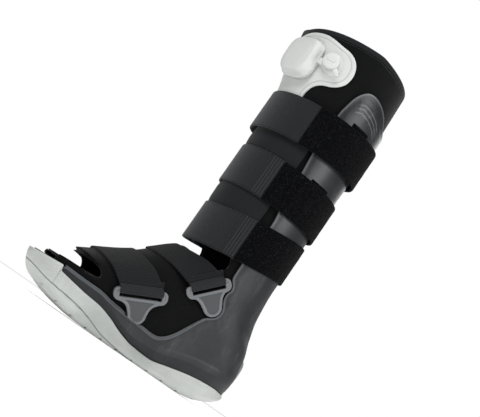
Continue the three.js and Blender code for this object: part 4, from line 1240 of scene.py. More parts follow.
def strap_path(strap, share):
    """Middle line of a foot strap at a share of its width: from the folded end behind the buckle round
    the bar, over the foot along x and z that fall from the crest by 1 - cos(turn), and down the far side."""
    place = buckle_frame(strap)
    start = place["origin"] + (share - 0.5) * (strap["width"] - WEBBING) * place["right"]
    half = WEBBING / 2
    ring = BUCKLE_WALL / 2 + half + 0.35
    behind, front = -half - 0.35, BUCKLE_WALL + half + 0.35
    local = [
        (BAR_TOP + 11, behind - 0.2), (BAR_TOP + 7, behind), (BAR_TOP + 3, behind), (BAR_TOP - 1, behind),
    ]
    low = BAR_BOTTOM + 0.6
    local += [(low - 1.9 * math.sin(math.radians(w)), BUCKLE_WALL / 2 - ring * math.cos(math.radians(w)))
              for w in (0, 30, 60, 90, 120, 150, 180)]
    local += [(BAR_TOP - 1.5, front), (BAR_TOP + 0.8, front)]
    bar = np.array([start + up * place["up"] + out * place["out"] for up, out in local])
    sewn = place["origin"] + (share - 0.5) * strap["width"] * place["right"] + place["up"] * (BAR_TOP + 12)
    toe, heel = strap["toe_crest"], strap["heel_crest"]
    section = section_at(crest_stop(toe + (heel - toe) * share))
    lift = STRAP_EASE + half + 0.2
    crest = form_point(section, 0.0, lift)
    turn = np.arange(76, -80, -4.0)
    fall = 1 - np.cos(np.radians(turn))
    x = crest[0] + (sewn[0] - crest[0]) * fall
    z = crest[2] + (sewn[2] - crest[2]) * fall
    fold = 2.4 * ease(52, 66, turn)
    raise_ = 2.6 * np.maximum(0, -turn / 78) ** 3
    width = side_width(x, z, lift + fold + raise_)
    skin = np.stack([x, -np.sign(turn) * width, z], 1)
    part = np.linspace(0.06, 1, 16)
    end = np.array(strap["toe_end"]) + (np.array(strap["heel_end"]) - np.array(strap["toe_end"])) * share
    tx, tz = sewn[0] + (end[0] - sewn[0]) * part, sewn[2] + (end[1] - sewn[2]) * part
    tail = np.stack([tx, shell_width(tx, tz) + lift + 0.2, tz], 1)
    return bar, np.concatenate([skin, tail])


def smooth_rows(grid, times, keep):
    """Grid whose inner points move to the mean of their neighbours along both directions, keep rows fixed."""
    grid = grid.copy()
    for _ in range(times):
        along = (grid[:-2] + grid[2:]) / 2
        grid[1:-1][keep:] += 0.5 * (along - grid[1:-1])[keep:]
        side = (grid[:, :-2] + grid[:, 2:]) / 2
        grid[:, 1:-1][keep:] += 0.4 * (side - grid[:, 1:-1])[keep:]
    return grid


def make_foot_strap(strap, material):
    """Webbing strap: round the buckle's bar, folded back on itself, over the foot and down the far side."""
    shares = np.linspace(0, 1, 19)
    paths = [strap_path(strap, share) for share in shares]
    bar = np.stack([p[0] for p in paths], 1)
    skin = np.stack([p[1] for p in paths], 1)
    joined = np.concatenate([bar[-1:], skin])
    joined = smooth_rows(joined, 10, 0)
    grid = np.concatenate([bar[:-1], joined])
    fine = np.stack([smooth_line(grid[:, j], 2) for j in range(grid.shape[1])], 1)
    build = Build()
    tape(build, fine, WEBBING)
    piece = build.finish(strap["name"] + "_strap_body", material)
    sharpen(piece, 60)
    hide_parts(strap["name"] + "_strap")
    return piece


# Air pump
def cubic(a, b, c, d, steps=14):
    """Points of a cubic Bezier curve without its start."""
    t = np.arange(1, steps + 1)[:, None] / steps
    a, b, c, d = (np.array(p, float) for p in (a, b, c, d))
    return a * (1 - t) ** 3 + 3 * b * t * (1 - t) ** 2 + 3 * c * t * t * (1 - t) + d * t**3


def pad_outline():
    """Flat outline of the pump's pad in its own frame: a neck under the strap, a wide head above."""
    return np.concatenate([
        [[5, -8], [6.5, 4]],
        cubic((6.5, 4), (9, 16), (17, 22), (27, 25)),
        cubic((27, 25), (37, 27.5), (45, 36), (45, 50)),
        cubic((45, 50), (45, 62), (40, 69), (30, 70.5)),
        cubic((30, 70.5), (20, 71.5), (10, 75.5), (0, 75.5)),
        cubic((0, 75.5), (-30, 75), (-56, 66), (-56, 50)),
        cubic((-56, 50), (-56, 34), (-52, 20), (-48, 4)),
        [[-46, -8]],
    ])


def make_pad(material):
    """Pad of the pump: a thin moulded sheet on the liner with a raised welt round its edge and a sewn line
    beside it."""
    build = Build()
    outline = pad_outline()
    place = calf_frame(PAD_ANGLE, 360)

    def surface(params, offset):
        """Point over the pad from height and angle."""
        return leg_point(params[:, 0], params[:, 1], offset)

    def distance(params):
        """Signed distance to the pad's outline, in the plane of its frame."""
        rel = surface(params, PAD_OUT) - place["origin"]
        return polygon_distance(np.stack([rel @ place["right"], rel @ place["up"]], 1), outline)

    params, faces = plane(np.linspace(346, 439, 118), np.linspace(-58, 95, 170))

    def outer(_, depth):
        """Offset of the skin, with a welt along the edge and a sewn line beside it."""
        welt = 0.7 * np.exp(-((depth - 1.5) / 0.9) ** 2)
        seam = -0.35 * np.exp(-((depth - 3.6) / 0.5) ** 2)
        return PAD_OUT - 0.35 + welt + seam

    profile = [(-0.8, PAD_OUT - 0.1), (-0.25, PAD_OUT - 0.35), (0.0, PAD_OUT - 1.0), (0.0, GAP + 0.3)]
    trimmed_wall(build, params, faces, distance, surface, outer, GAP, profile)
    piece = build.finish("pump_pad_body", material)
    sharpen(piece, 50)
    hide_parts("pump_pad")
    return piece


def wave(value, power):
    """A power of a value that keeps its sign; of a cosine and a sine it makes a rounded square."""
    return np.sign(value) * np.abs(value) ** power


def rounded_plan(along, up, power):
    """Plan of a rounded box with half lengths along and up, at a share of its size."""
    def plan(share, sides):
        """Plan at a share of its size."""
        turn = np.linspace(0, 2 * math.pi, sides, endpoint=False)
        return share * np.stack([along * wave(np.cos(turn), power), up * wave(np.sin(turn), power)], 1)

    return plan


def bulb_plan(share, sides):
    """Rounded square plan of the bulb at a share of its half width, a bit narrower towards the bottom."""
    turn = np.linspace(0, 2 * math.pi, sides, endpoint=False)
    side, rise = wave(np.cos(turn), 0.62), wave(np.sin(turn), 0.62)
    reach = BULB_HALF * share
    return np.stack([side * reach * (1 + 0.05 * rise), rise * (reach - 0.5)], 1)


def make_bulb(material):
    """Bulb of the pump: rounded square levels from a thin flange up a steep wall to a soft plateau."""
    build = Build()
    profile = [(-4.5, 1.0), (0.9, 1.045), (1.3, 1.04), (1.55, 1.01), (2.0, 0.985), (4.0, 0.975), (6.5, 0.955),
               (8.6, 0.925), (10.2, 0.885), (11.2, 0.84), (11.75, 0.79), (12.1, 0.74), (12.5, 0.70),
               (13.0, 0.66), (13.4, 0.60), (13.7, 0.48), (13.9, 0.3), (14.0, 0.12)]
    turned_body(build, calf_frame(BULB_ANGLE, BULB_Z), profile, bulb_plan, 96)
    piece = build.finish("pump_bulb_body", material)
    points = np.zeros(len(piece.data.vertices) * 3, np.float32)
    piece.data.vertices.foreach_get("co", points)
    p = points.reshape(-1, 3) / MM
    section = leg_section(p[:, 2])
    middle = (section["cx"] + section["bx"]) / 2
    floor = form_point(section, np.arctan2(-p[:, 1], middle - p[:, 0]), PAD_OUT + 0.3)
    here = np.hypot(p[:, 0] - middle, p[:, 1])
    least = np.hypot(floor[:, 0] - middle, floor[:, 1])
    grow = np.maximum(1, least / np.maximum(here, 1e-6))
    p[:, 0] = middle + (p[:, 0] - middle) * grow
    p[:, 1] = p[:, 1] * grow
    piece.data.vertices.foreach_set("co", (p * MM).astype(np.float32).ravel())
    piece.data.update()
    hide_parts("pump_bulb")
    return piece


def circle_plan(radius, sides):
    """Round plan."""
    turn = np.linspace(0, 2 * math.pi, sides, endpoint=False)
    return radius * np.stack([np.cos(turn), np.sin(turn)], 1)


def make_valve(material):
    """Valve: a round seat with a neck to the bulb and, on its own body, the dial with its pointer."""
    place = calf_frame(VALVE_ANGLE, VALVE_Z)
    build = Build()
    r, h = SEAT_RADIUS, SEAT_HEIGHT
    profile = [
        (-3, r + 0.6), (-0.4, r + 0.6), (0.3, r + 0.2), (1.0, r - 0.2),
        (h - 1.2, r - 0.6), (h - 0.4, r - 0.9), (h, r - 1.7),
    ]
    turned_body(build, place, profile, circle_plan, 56)
    neck_place = dict(place, origin=place["origin"] + place["right"] * -15 + place["up"] * -4)
    turned_body(build, neck_place, [(-3, 1.0), (1.6, 1.0), (2.5, 0.93), (3.0, 0.8)],
                rounded_plan(6.5, 4.2, 0.5), 40)
    seat = build.finish("valve_seat_body", material, weld=False)
    sharpen(seat, 40)
    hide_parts("valve_seat")

    low = h + 0.3
    build = Build()
    r, top = DIAL_RADIUS, low + DIAL_HEIGHT
    profile = [
        (low, r - 0.8), (low + 0.3, r - 0.2), (low + 0.9, r), (top - 1.8, r - 0.15), (top - 1.1, r - 0.4),
        (top - 0.5, r - 1.0), (top - 0.15, r - 1.9), (top, r - 3.2), (top + 0.15, 3.0),
    ]
    turned_body(build, place, profile, circle_plan, 64)
    turn = math.radians(POINTER_TURN)
    way = dict(place, right=place["right"] * math.cos(turn) + place["up"] * math.sin(turn),
               up=place["up"] * math.cos(turn) - place["right"] * math.sin(turn))

    def pointer(share, sides):
        """Plan of the pointer, narrower towards its tip, at a share of its size."""
        t = np.linspace(0, 2 * math.pi, sides, endpoint=False)
        x = 13.2 + 6.8 * share * wave(np.cos(t), 0.7)
        y = (3.7 - 0.07 * (x - 6)) * share * wave(np.sin(t), 0.7)
        return np.stack([x, y], 1)

    turned_body(build, way, [(low + 0.6, 0.9), (low + 0.9, 1.0), (low + 2.6, 1.0), (low + 3.3, 0.93),
                             (low + 3.6, 0.8)], pointer, 36)
    turned_body(build, place, [(top - 0.6, 1.0), (top + 0.5, 1.0), (top + 0.9, 0.9), (top + 1.0, 0.75)],
                rounded_plan(5.2, 1.7, 0.4), 40)
    dial = build.finish("valve_dial_body", material, weld=False, body="dial")
    sharpen(dial, 40)
    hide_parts("valve_dial")


# Materials
def linear(colour):
    """sRGB hex colour as linear red, green, blue and alpha."""
    values = [int(colour[i:i + 2], 16) / 255 for i in (1, 3, 5)]
    return (*[v / 12.92 if v <= 0.04045 else ((v + 0.055) / 1.055) ** 2.4 for v in values], 1.0)


def add_node(tree, kind, links=None, values=None, **settings):
    """Adds a shader node with its settings, constant inputs and links from other nodes' sockets."""
    made = tree.nodes.new(kind)
    for name, value in settings.items():
        setattr(made, name, value)
    for name, value in (values or {}).items():
        made.inputs[name].default_value = value
    for name, source in (links or {}).items():
        tree.links.new(source, made.inputs[name])
    return made


def new_material(name, roughness, sheen=0.0, specular=0.5):
    """Material with its Principled shader and the Object coordinates of the piece."""
    material = bpy.data.materials.new(name)
    material.use_nodes = True
    tree = material.node_tree
    shader = tree.nodes["Principled BSDF"]
    shader.inputs["Roughness"].default_value = roughness
    shader.inputs["Specular IOR Level"].default_value = specular
    shader.inputs["Sheen Weight"].default_value = sheen
    shader.inputs["Sheen Roughness"].default_value = 0.45
    place = add_node(tree, "ShaderNodeTexCoord").outputs["Object"]
    return material, tree, shader, place


def noise(tree, place, size_mm, detail=3.0, rough=0.55, stretch=None):
    """Noise whose features are about size_mm across, from 0 to 1."""
    source = place
    if stretch:
        source = add_node(tree, "ShaderNodeMapping", {"Vector": place}, {"Scale": stretch}).outputs[0]
    values = {"Scale": 1000.0 / size_mm, "Detail": detail, "Roughness": rough}
    return add_node(tree, "ShaderNodeTexNoise", {"Vector": source}, values).outputs["Fac"]


def ramp(tree, fac, low, high):
    """fac brought from the range low to high onto 0 to 1, clamped, with soft ends."""
    found = add_node(tree, "ShaderNodeMapRange", {"Value": fac}, {"From Min": low, "From Max": high},
                     interpolation_type="SMOOTHSTEP")
    return found.outputs["Result"]


def maths(tree, operation, a, b=None):
    """Result of a math node on sockets or constants."""
    made = tree.nodes.new("ShaderNodeMath")
    made.operation = operation
    for i, value in enumerate((a, b)):
        if value is None:
            continue
        if isinstance(value, (int, float)):
            made.inputs[i].default_value = value
        else:
            tree.links.new(value, made.inputs[i])
    return made.outputs[0]


def field(tree, name):
    """A field of the mesh as a number."""
    return add_node(tree, "ShaderNodeAttribute", attribute_name=name).outputs["Fac"]


def blend_colour(tree, fac, a, b):
    """Mix of two colours, each a hex colour, a colour property or a socket."""
    made = add_node(tree, "ShaderNodeMix", data_type="RGBA")
    for index, value in ((6, a), (7, b)):
        if isinstance(value, bpy.types.NodeSocket):
            tree.links.new(value, made.inputs[index])
        else:
            made.inputs[index].default_value = linear(value) if isinstance(value, str) else tuple(value)
    if isinstance(fac, (int, float)):
        made.inputs[0].default_value = fac
    else:
        tree.links.new(fac, made.inputs[0])
    return made.outputs[2]


def tint(tree, base, mask, share, colour):
    """Base colour tinted by a share where the mask is 1."""
    return blend_colour(tree, maths(tree, "MULTIPLY", mask, share), base, colour)


def bump(tree, shader, height, depth_mm, strength=1.0, normal=None):
    """Bump from a height of 0 to 1 over depth_mm, chained on an earlier one."""
    links = {"Height": height}
    if normal is not None:
        links["Normal"] = normal
    made = add_node(tree, "ShaderNodeBump", links, {"Strength": strength, "Distance": depth_mm * MM})
    tree.links.new(made.outputs[0], shader.inputs["Normal"])
    return made.outputs[0]


def line_at(tree, value, at, width):
    """1 on a line where value is near at, fading to 0 over width to both sides."""
    off = maths(tree, "ABSOLUTE", maths(tree, "SUBTRACT", value, at))
    return ramp(tree, off, width, width * 0.35)


def lines_at(tree, value, places, width):
    """1 on each of several lines where value is near one of the places."""
    lines = [line_at(tree, value, at, width) for at in places]
    return functools.reduce(lambda a, b: maths(tree, "MAXIMUM", a, b), lines)


def rubber_material(look):
    """Pale grey moulded rubber, matt, with fine ribs along its wall and a moulded line above the tread,
    darkened as painted shade.
    """
    material, tree, shader, place = new_material("moulded_rubber", 0.62, specular=0.35)
    up = field(tree, "up")
    mottle = noise(tree, place, 60, 4)
    base = blend_colour(tree, ramp(tree, mottle, 0.3, 0.7), look.sole_shade, look.sole_colour)
    # Painted shade: the moulded line is darkened, as if shade lay in its groove
    groove = line_at(tree, field(tree, "line"), 0.0, 0.9)
    base = tint(tree, base, groove, 0.75, "#6F7573")
    fine = noise(tree, place, 1.5, 2)
    tree.links.new(base, shader.inputs["Base Color"])
    rib = maths(tree, "SINE", maths(tree, "MULTIPLY", up, 2 * math.pi * 17))
    wall = maths(tree, "MULTIPLY", ramp(tree, up, 0.3, 0.42), ramp(tree, up, 0.97, 0.9))
    rib = maths(tree, "MULTIPLY", rib, wall)
    first = bump(tree, shader, rib, 0.16)
    second = bump(tree, shader, fine, 0.12, 0.5, first)
    bump(tree, shader, groove, -0.8, 1.0, second)
    return material


def shell_material(look):
    """Dark grey moulded plastic, satin, faintly mottled and scuffed, with a painted highlight along its rounded
    rim and on the three fine ridges under the upper end, and painted shade in the groove beside the rim and
    under the crease of its base."""
    material, tree, shader, place = new_material("moulded_plastic", 0.46, specular=0.36)
    cloud = noise(tree, place, 42, 5, 0.6)
    scuff = noise(tree, place, 14, 6, 0.7, (1.0, 1.0, 0.35))
    base = blend_colour(tree, ramp(tree, cloud, 0.35, 0.72), "#1A1C1E", look.shell_colour)
    base = tint(tree, base, ramp(tree, scuff, 0.5, 0.74), 0.36, "#4E5256")
    depth = field(tree, "rim")
    # Painted highlight: the rounded rim is made paler, as if lit
    rim = ramp(tree, depth, 1.3, 0.2)
    base = tint(tree, base, rim, 0.6, "#5C6064")
    # Painted shade: the groove beside the rim is darkened
    groove = line_at(tree, depth, 3.0, 1.6)
    base = tint(tree, base, groove, 0.5, "#17191B")
    # Painted shade: the base below its crease is darkened, as if in shade under the overhang
    skirt = field(tree, "skirt")
    under = maths(tree, "MULTIPLY", ramp(tree, skirt, 0.44, 0.38), ramp(tree, skirt, 0.0, 0.0005))
    base = tint(tree, base, under, 0.65, "#17191B")
    # Painted highlight: the three ridges get paler lines, as if lit on their crests
    lines = lines_at(tree, field(tree, "arc"), RIDGE_LINES, 1.0)
    lines = maths(tree, "MULTIPLY", lines, field(tree, "ridge"))
    base = tint(tree, base, lines, 0.5, "#6C7073")
    band = maths(tree, "MULTIPLY", ramp(tree, depth, 11.5, 9.0), ramp(tree, depth, 1.2, 2.4))
    band = maths(tree, "MULTIPLY", band, field(tree, "crown"))
    base = tint(tree, base, band, 0.8, "#131517")
    tree.links.new(base, shader.inputs["Base Color"])
    height = add_node(tree, "ShaderNodeSeparateXYZ", {"Vector": place}).outputs["Z"]
    worn = maths(tree, "MULTIPLY", ramp(tree, height, 0.24, 0.14), 0.12)
    rough = maths(tree, "ADD", maths(tree, "ADD", 0.32, worn), maths(tree, "MULTIPLY", scuff, 0.1))
    tree.links.new(rough, shader.inputs["Roughness"])
    bump(tree, shader, noise(tree, place, 2.2, 3), 0.12, 0.6)
    return material


def liner_material(look):
    """Black brushed cloth over foam: fine grain, a soft sheen, a bound and stitched rim."""
    material, tree, shader, place = new_material("brushed_padded_cloth", 0.95, sheen=0.12, specular=0.12)
    grain = noise(tree, place, 1.5, 4, 0.7)
    speck = ramp(tree, grain, 0.38, 0.72)
    base = blend_colour(tree, speck, "#060607", look.liner_colour)
    below = field(tree, "below")
    seam = line_at(tree, below, 7.5, 0.9)
    bound = ramp(tree, below, 7.0, 6.0)
    base = tint(tree, base, bound, 0.22, "#3A3D40")
    base = tint(tree, base, seam, 0.8, "#030303")
    tree.links.new(base, shader.inputs["Base Color"])
    first = bump(tree, shader, grain, 0.5, 0.7)
    bump(tree, shader, seam, -0.9, 1.0, first)
    return material


def loop_material(look):
    """Grey short loop cloth: a close nap, with painted shade near the seam fading to a painted highlight in
    front, and rows of stitches by the seam.
    """
    material, tree, shader, place = new_material("short_loop_cloth", 0.9, sheen=0.2, specular=0.15)
    grain = noise(tree, place, 1.3, 3, 0.75)
    along, across = field(tree, "along"), field(tree, "across")
    # Painted light: the cloth goes from painted shade by the seam to a paler, lit-looking front
    front = ramp(tree, along, 8.0, 62.0)
    base = blend_colour(tree, front, look.loop_painted_shade, look.loop_colour)
    base = tint(tree, base, ramp(tree, grain, 0.40, 0.60), 0.5, "#131416")
    edge = ramp(tree, maths(tree, "ABSOLUTE", across), STRAP_WIDTH / 2 - 2.2, STRAP_WIDTH / 2 - 1.4)
    base = tint(tree, base, edge, 0.6, "#111214")
    rows = lines_at(tree, along, (2.2, 5.6, 9.0, 12.4), 0.9)
    dash = ramp(tree, maths(tree, "SINE", maths(tree, "MULTIPLY", across, 2 * math.pi / 2.6)), -0.5, 0.1)
    stitch = maths(tree, "MULTIPLY", maths(tree, "MULTIPLY", rows, dash), field(tree, "stitched"))
    base = tint(tree, base, stitch, 0.35, "#4C4F53")
    tree.links.new(base, shader.inputs["Base Color"])
    first = bump(tree, shader, grain, 0.5, 0.6)
    sunk = maths(tree, "MULTIPLY", rows, field(tree, "stitched"))
    bump(tree, shader, sunk, -0.5, 0.8, first)
    return material


def pile_material(look):
    """Black deep pile: unbroken loops that shade one another, with few lit tips."""
    material, tree, shader, place = new_material("deep_pile", 1.0, sheen=0.03, specular=0.04)
    loops = noise(tree, place, 1.4, 4, 0.8)
    base = blend_colour(tree, ramp(tree, loops, 0.5, 0.74), look.pile_colour, "#2A2C2F")
    tree.links.new(base, shader.inputs["Base Color"])
    first = bump(tree, shader, noise(tree, place, 4.5, 3), 1.2, 0.7)
    bump(tree, shader, loops, 1.0, 0.9, first)
    return material


def webbing_material(look):
    """Black ribbed webbing: a twill of slanted ribs across the tape and a sewn fold."""
    material, tree, shader, place = new_material("ribbed_webbing", 0.8, sheen=0.06, specular=0.2)
    along, across = field(tree, "along"), field(tree, "across")
    rib = maths(tree, "SINE", maths(tree, "MULTIPLY", along, 2 * math.pi / 1.9))
    slope = maths(tree, "ADD", across, maths(tree, "MULTIPLY", along, 0.6))
    slant = maths(tree, "SINE", maths(tree, "MULTIPLY", slope, 2 * math.pi / 2.4))
    weave = maths(tree, "ADD", maths(tree, "MULTIPLY", rib, 0.6), maths(tree, "MULTIPLY", slant, 0.4))
    grain = noise(tree, place, 1.2, 3, 0.7)
    tone = ramp(tree, maths(tree, "ADD", weave, maths(tree, "MULTIPLY", grain, 0.8)), -0.5, 1.2)
    base = blend_colour(tree, tone, "#020203", look.webbing_colour)
    fold = maths(tree, "MULTIPLY", ramp(tree, along, 18.0, 20.0), ramp(tree, along, 32.5, 31.5))
    base = tint(tree, base, fold, 0.45, "#2B2D30")
    seam = line_at(tree, along, 32.5, 1.0)
    base = tint(tree, base, seam, 0.8, "#030303")
    tree.links.new(base, shader.inputs["Base Color"])
    first = bump(tree, shader, weave, 0.28, 0.8)
    bump(tree, shader, grain, 0.3, 0.5, first)
    return material


def buckle_material(look):
    """Mid grey moulded plastic, satin, with a painted highlight on the rounded rims."""
    material, tree, shader, place = new_material("satin_plastic", 0.38, specular=0.5)
    # Painted highlight: the rounded rims are made paler, as if they caught the light
    rim = ramp(tree, field(tree, "rim"), 2.5, 1.7)
    base = blend_colour(tree, ramp(tree, noise(tree, place, 18, 4), 0.3, 0.7), "#383B3E", look.buckle_colour)
    base = tint(tree, base, rim, 0.7, "#6E7174")
    tree.links.new(base, shader.inputs["Base Color"])
    bump(tree, shader, noise(tree, place, 1.4, 2), 0.08, 0.5)
    return material


def pump_material(look):
    """Off-white moulded plastic, satin, with a darker sewn line along the welt of the pad."""
    material, tree, shader, place = new_material("soft_moulded_plastic", 0.42, specular=0.45)
    shader.inputs["Subsurface Weight"].default_value = 0.08
    shader.inputs["Subsurface Radius"].default_value = (0.002, 0.002, 0.0018)
    cloud = noise(tree, place, 30, 3)
    base = blend_colour(tree, ramp(tree, cloud, 0.3, 0.7), "#C4C7C5", look.pump_colour)
    depth = field(tree, "rim")
    seam = line_at(tree, depth, 3.6, 0.75)
    base = tint(tree, base, seam, 0.45, "#7C8285")
    tree.links.new(base, shader.inputs["Base Color"])
    bump(tree, shader, noise(tree, place, 2.5, 2), 0.1, 0.4)
    return material


# Stage, in metres and watts
FLOOR_HALF = 2.6
FLOOR_GLOW = 0.25
AMBIENT_STRENGTH = 0.32
BACKDROP_STRENGTH = 1.0
LIGHT_TARGET = (0.0, 0.0, 0.2)
LIGHTS = (
    # Name, place, size, power
    ("key", (-1.5, -1.3, 1.7), 1.1, 31),
    ("fill", (1.0, -1.65, 0.68), 0.8, 17),
    ("top", (0.2, 0.3, 2.2), 1.4, 16),
    ("back", (1.3, 1.2, 1.2), 1.2, 12),
)
SENSOR_WIDTH_MM = 36


def make_floor():
    """Pale matt floor, one wide square with a weak glow."""
    half = FLOOR_HALF
    corners = [(-half, -half, 0), (half, -half, 0), (half, half, 0), (-half, half, 0)]
    mesh = bpy.data.meshes.new("floor")
    mesh.from_pydata(corners, [], [(0, 1, 2, 3)])
    material = bpy.data.materials.new("pale_paint")
    material.use_nodes = True
    tree = material.node_tree
    shader = tree.nodes["Principled BSDF"]
    shader.inputs["Base Color"].default_value = linear("#F6F6F6")
    shader.inputs["Roughness"].default_value = 0.9
    shader.inputs["Specular IOR Level"].default_value = 0.1
    shader.inputs["Emission Color"].default_value = linear("#FFFFFF")
    shader.inputs["Emission Strength"].default_value = FLOOR_GLOW
    mesh.materials.append(material)
    floor = bpy.data.objects.new("floor", mesh)
    bpy.context.scene.collection.objects.link(floor)


def area_light(name, spot, target, size, power):
    """Square soft light aimed at a point, in metres and watts."""
    data = bpy.data.lights.new(name, "AREA")
    data.size, data.energy = size, power
    light = bpy.data.objects.new(name, data)
    light.location = spot
    light.rotation_euler = (Vector(target) - Vector(spot)).to_track_quat("-Z", "Y").to_euler()
    bpy.context.scene.collection.objects.link(light)


def make_stage(look):
    """Floor, soft studio light and the camera: it looks from the photograph's side, rolled as it was."""
    make_floor()
    world = bpy.data.worlds.new("studio")
    world.use_nodes = True
    tree = world.node_tree
    ambient = tree.nodes["Background"]
    ambient.inputs["Color"].default_value = linear("#FFFFFF")
    ambient.inputs["Strength"].default_value = AMBIENT_STRENGTH
    backdrop = {"Color": linear("#FFFFFF"), "Strength": BACKDROP_STRENGTH}
    seen = add_node(tree, "ShaderNodeBackground", None, backdrop)
    ray = add_node(tree, "ShaderNodeLightPath")
    links = {0: ray.outputs["Is Camera Ray"], 1: ambient.outputs[0], 2: seen.outputs[0]}
    mixed = add_node(tree, "ShaderNodeMixShader", links)
    tree.links.new(mixed.outputs[0], tree.nodes["World Output"].inputs["Surface"])
    bpy.context.scene.world = world
    for name, spot, size, power in LIGHTS:
        area_light(name, spot, LIGHT_TARGET, size, power)
    bpy.context.scene.view_settings.view_transform = "Standard"
    azimuth, roll = math.radians(look.camera_azimuth), math.radians(look.camera_roll)
    reach = look.camera_distance
    spot = Vector((-reach * math.sin(azimuth), -reach * math.cos(azimuth), look.camera_height))
    aim = Vector((look.aim_x, 0.0, look.aim_z))
    away = (aim - spot).normalized()
    right = away.cross(Vector((0, 0, 1))).normalized()
    up = right.cross(away)
    across = right * math.cos(roll) + up * math.sin(roll)
    rise = up * math.cos(roll) - right * math.sin(roll)
    data = bpy.data.cameras.new("camera")
    data.sensor_width = SENSOR_WIDTH_MM
    data.lens = look.camera_lens
    camera = bpy.data.objects.new("camera", data)
    turn = Matrix((across, rise, -away)).transposed()
    camera.matrix_world = Matrix.Translation(spot) @ turn.to_4x4()
    bpy.context.scene.collection.objects.link(camera)
    bpy.context.scene.camera = camera


# The properties, operators and panel of the add-on
def colour_property(name, description, value):
    """Colour property whose default is an sRGB hex colour."""
    return FloatVectorProperty(name=name, description=description, default=linear(value), size=4,
                               subtype="COLOR", min=0.0, max=1.0)


def length_property(name, description, value_mm):
    """Length property whose default is in millimetres."""
    return FloatProperty(name=name, description=description, default=value_mm * MM, unit="LENGTH")


class BootSizes(bpy.types.PropertyGroup):
    """Sizes of the details that the scene adds."""

    groove_width: length_property("Groove width", "Width of the grooves in the tread", GROOVE_WIDTH)
    groove_depth: length_property("Groove depth", "Depth of the grooves in the tread", GROOVE_DEPTH)
    ridge_rise: length_property("Ridge height", "Height of the three ridges on the shell", RIDGE_RISE)


class BootLook(bpy.types.PropertyGroup):
    """Colours of the finishes and the camera's place."""

    sole_colour: colour_property("Sole", "Colour of the sole's rubber", "#BEC1BE")
    sole_shade: colour_property("Sole shade", "Darker patches of the rubber", "#A8ACA9")
    shell_colour: colour_property("Shell", "Colour of the moulded shell", "#25282B")
    liner_colour: colour_property("Liner", "Colour of the padded cloth", "#0B0C0D")
    # The strap fronts blend from the painted shade near the seam to this paler front colour, which stands for
    # light on the front
    loop_colour: colour_property("Strap front", "Loop cloth at the front", "#2C2F32")
    loop_painted_shade: colour_property("Strap seam", "Loop cloth near the seam", "#1F2123")
    pile_colour: colour_property("Strap back", "Colour of the deep pile", "#040405")
    webbing_colour: colour_property("Webbing", "Colour of the webbing", "#1D1E20")
    buckle_colour: colour_property("Buckles", "Colour of the buckles", "#3A3D40")
    pump_colour: colour_property("Pump", "Colour of the pump", "#C8CAC7")
    camera_azimuth: FloatProperty(name="Azimuth", description="Turn to the toe side in degrees", default=20.4)
    camera_roll: FloatProperty(name="Roll", description="Camera's roll in degrees", default=34.74)
    camera_distance: length_property("Distance", "Camera to the leg", 1360.0)
    camera_height: length_property("Height", "Camera above the floor", 14.0)
    camera_lens: FloatProperty(name="Lens", description="Focal length in millimetres", default=87.5)
    aim_x: length_property("Aim X", "Point aimed at, along the foot", -1.0)
    aim_z: length_property("Aim Z", "Point aimed at, above the floor", 218.4)


class BOOT_OT_sole(bpy.types.Operator):
    """Build the outsole with its toe bumper and heel tab"""

    bl_idname = "boot.sole"
    bl_label = "Outsole"

    def execute(self, context):
        make_outsole(rubber_material(context.scene.boot_look), context.scene.boot_sizes)
        return {"FINISHED"}


class BOOT_OT_shell(bpy.types.Operator):
    """Build the moulded shell"""

    bl_idname = "boot.shell"
    bl_label = "Shell"

    def execute(self, context):
        make_shell(shell_material(context.scene.boot_look), context.scene.boot_sizes)
        return {"FINISHED"}


class BOOT_OT_padding(bpy.types.Operator):
    """Build the padded liner and the shin flap"""

    bl_idname = "boot.padding"
    bl_label = "Liner and flap"

    def execute(self, context):
        cloth = liner_material(context.scene.boot_look)
        make_liner(cloth)
        make_flap(cloth)
        return {"FINISHED"}


class BOOT_OT_calf_straps(bpy.types.Operator):
    """Build the three calf straps and the hook patches under them"""

    bl_idname = "boot.calf_straps"
    bl_label = "Calf straps"

    def execute(self, context):
        look = context.scene.boot_look
        loop, pile = loop_material(look), pile_material(look)
        make_hook_patches(pile)
        for number, strap in enumerate(CALF_STRAPS, 1):
            make_calf_strap(number, strap, loop, pile)
        return {"FINISHED"}


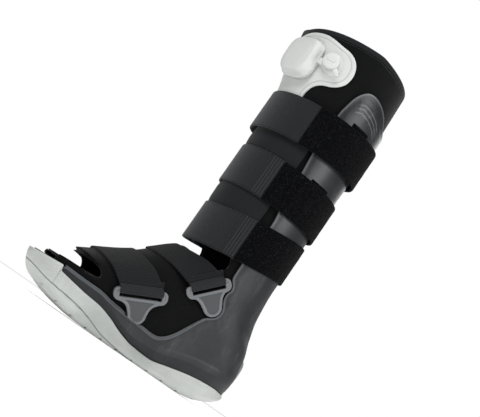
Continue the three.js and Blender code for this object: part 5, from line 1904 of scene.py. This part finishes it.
class BOOT_OT_foot_straps(bpy.types.Operator):
    """Build the two foot straps and their buckles"""

    bl_idname = "boot.foot_straps"
    bl_label = "Foot straps"

    def execute(self, context):
        look = context.scene.boot_look
        webbing, plastic = webbing_material(look), buckle_material(look)
        for strap in FOOT_STRAPS:
            make_foot_strap(strap, webbing)
            make_buckle(strap, plastic)
        return {"FINISHED"}


class BOOT_OT_pump(bpy.types.Operator):
    """Build the air pump's pad, bulb, seat and dial"""

    bl_idname = "boot.pump"
    bl_label = "Air pump"

    def execute(self, context):
        plastic = pump_material(context.scene.boot_look)
        make_pad(plastic)
        make_bulb(plastic)
        make_valve(plastic)
        return {"FINISHED"}


class BOOT_OT_stage(bpy.types.Operator):
    """Build the floor, the lights and the camera"""

    bl_idname = "boot.stage"
    bl_label = "Stage"

    def execute(self, context):
        make_stage(context.scene.boot_look)
        return {"FINISHED"}


OPERATORS = (
    BOOT_OT_sole, BOOT_OT_shell, BOOT_OT_padding, BOOT_OT_calf_straps, BOOT_OT_foot_straps, BOOT_OT_pump,
    BOOT_OT_stage,
)


class BOOT_PT_panel(bpy.types.Panel):
    """Panel with the boot's steps and looks"""

    bl_idname = "BOOT_PT_panel"
    bl_label = "Walking Boot"
    bl_space_type = "VIEW_3D"
    bl_region_type = "UI"
    bl_category = "Boot"

    def draw(self, context):
        for operator in OPERATORS:
            self.layout.operator(operator.bl_idname)
        for kind, group in ((BootSizes, context.scene.boot_sizes), (BootLook, context.scene.boot_look)):
            for name in kind.__annotations__:
                self.layout.prop(group, name)


CLASSES = (BootSizes, BootLook, *OPERATORS, BOOT_PT_panel)


def register():
    """Registers the classes and puts the sizes and looks on the scene."""
    for cls in CLASSES:
        bpy.utils.register_class(cls)
    bpy.types.Scene.boot_sizes = PointerProperty(type=BootSizes)
    bpy.types.Scene.boot_look = PointerProperty(type=BootLook)


def unregister():
    """Takes away what register put in place."""
    del bpy.types.Scene.boot_look
    del bpy.types.Scene.boot_sizes
    for cls in reversed(CLASSES):
        bpy.utils.unregister_class(cls)


def main():
    """Registers the add-on and runs its steps, which build every piece round the frame and the stage."""
    register()
    for operator in OPERATORS:
        group, name = operator.bl_idname.split(".")
        getattr(getattr(bpy.ops, group), name)()


if __name__ == "__main__":
    main()
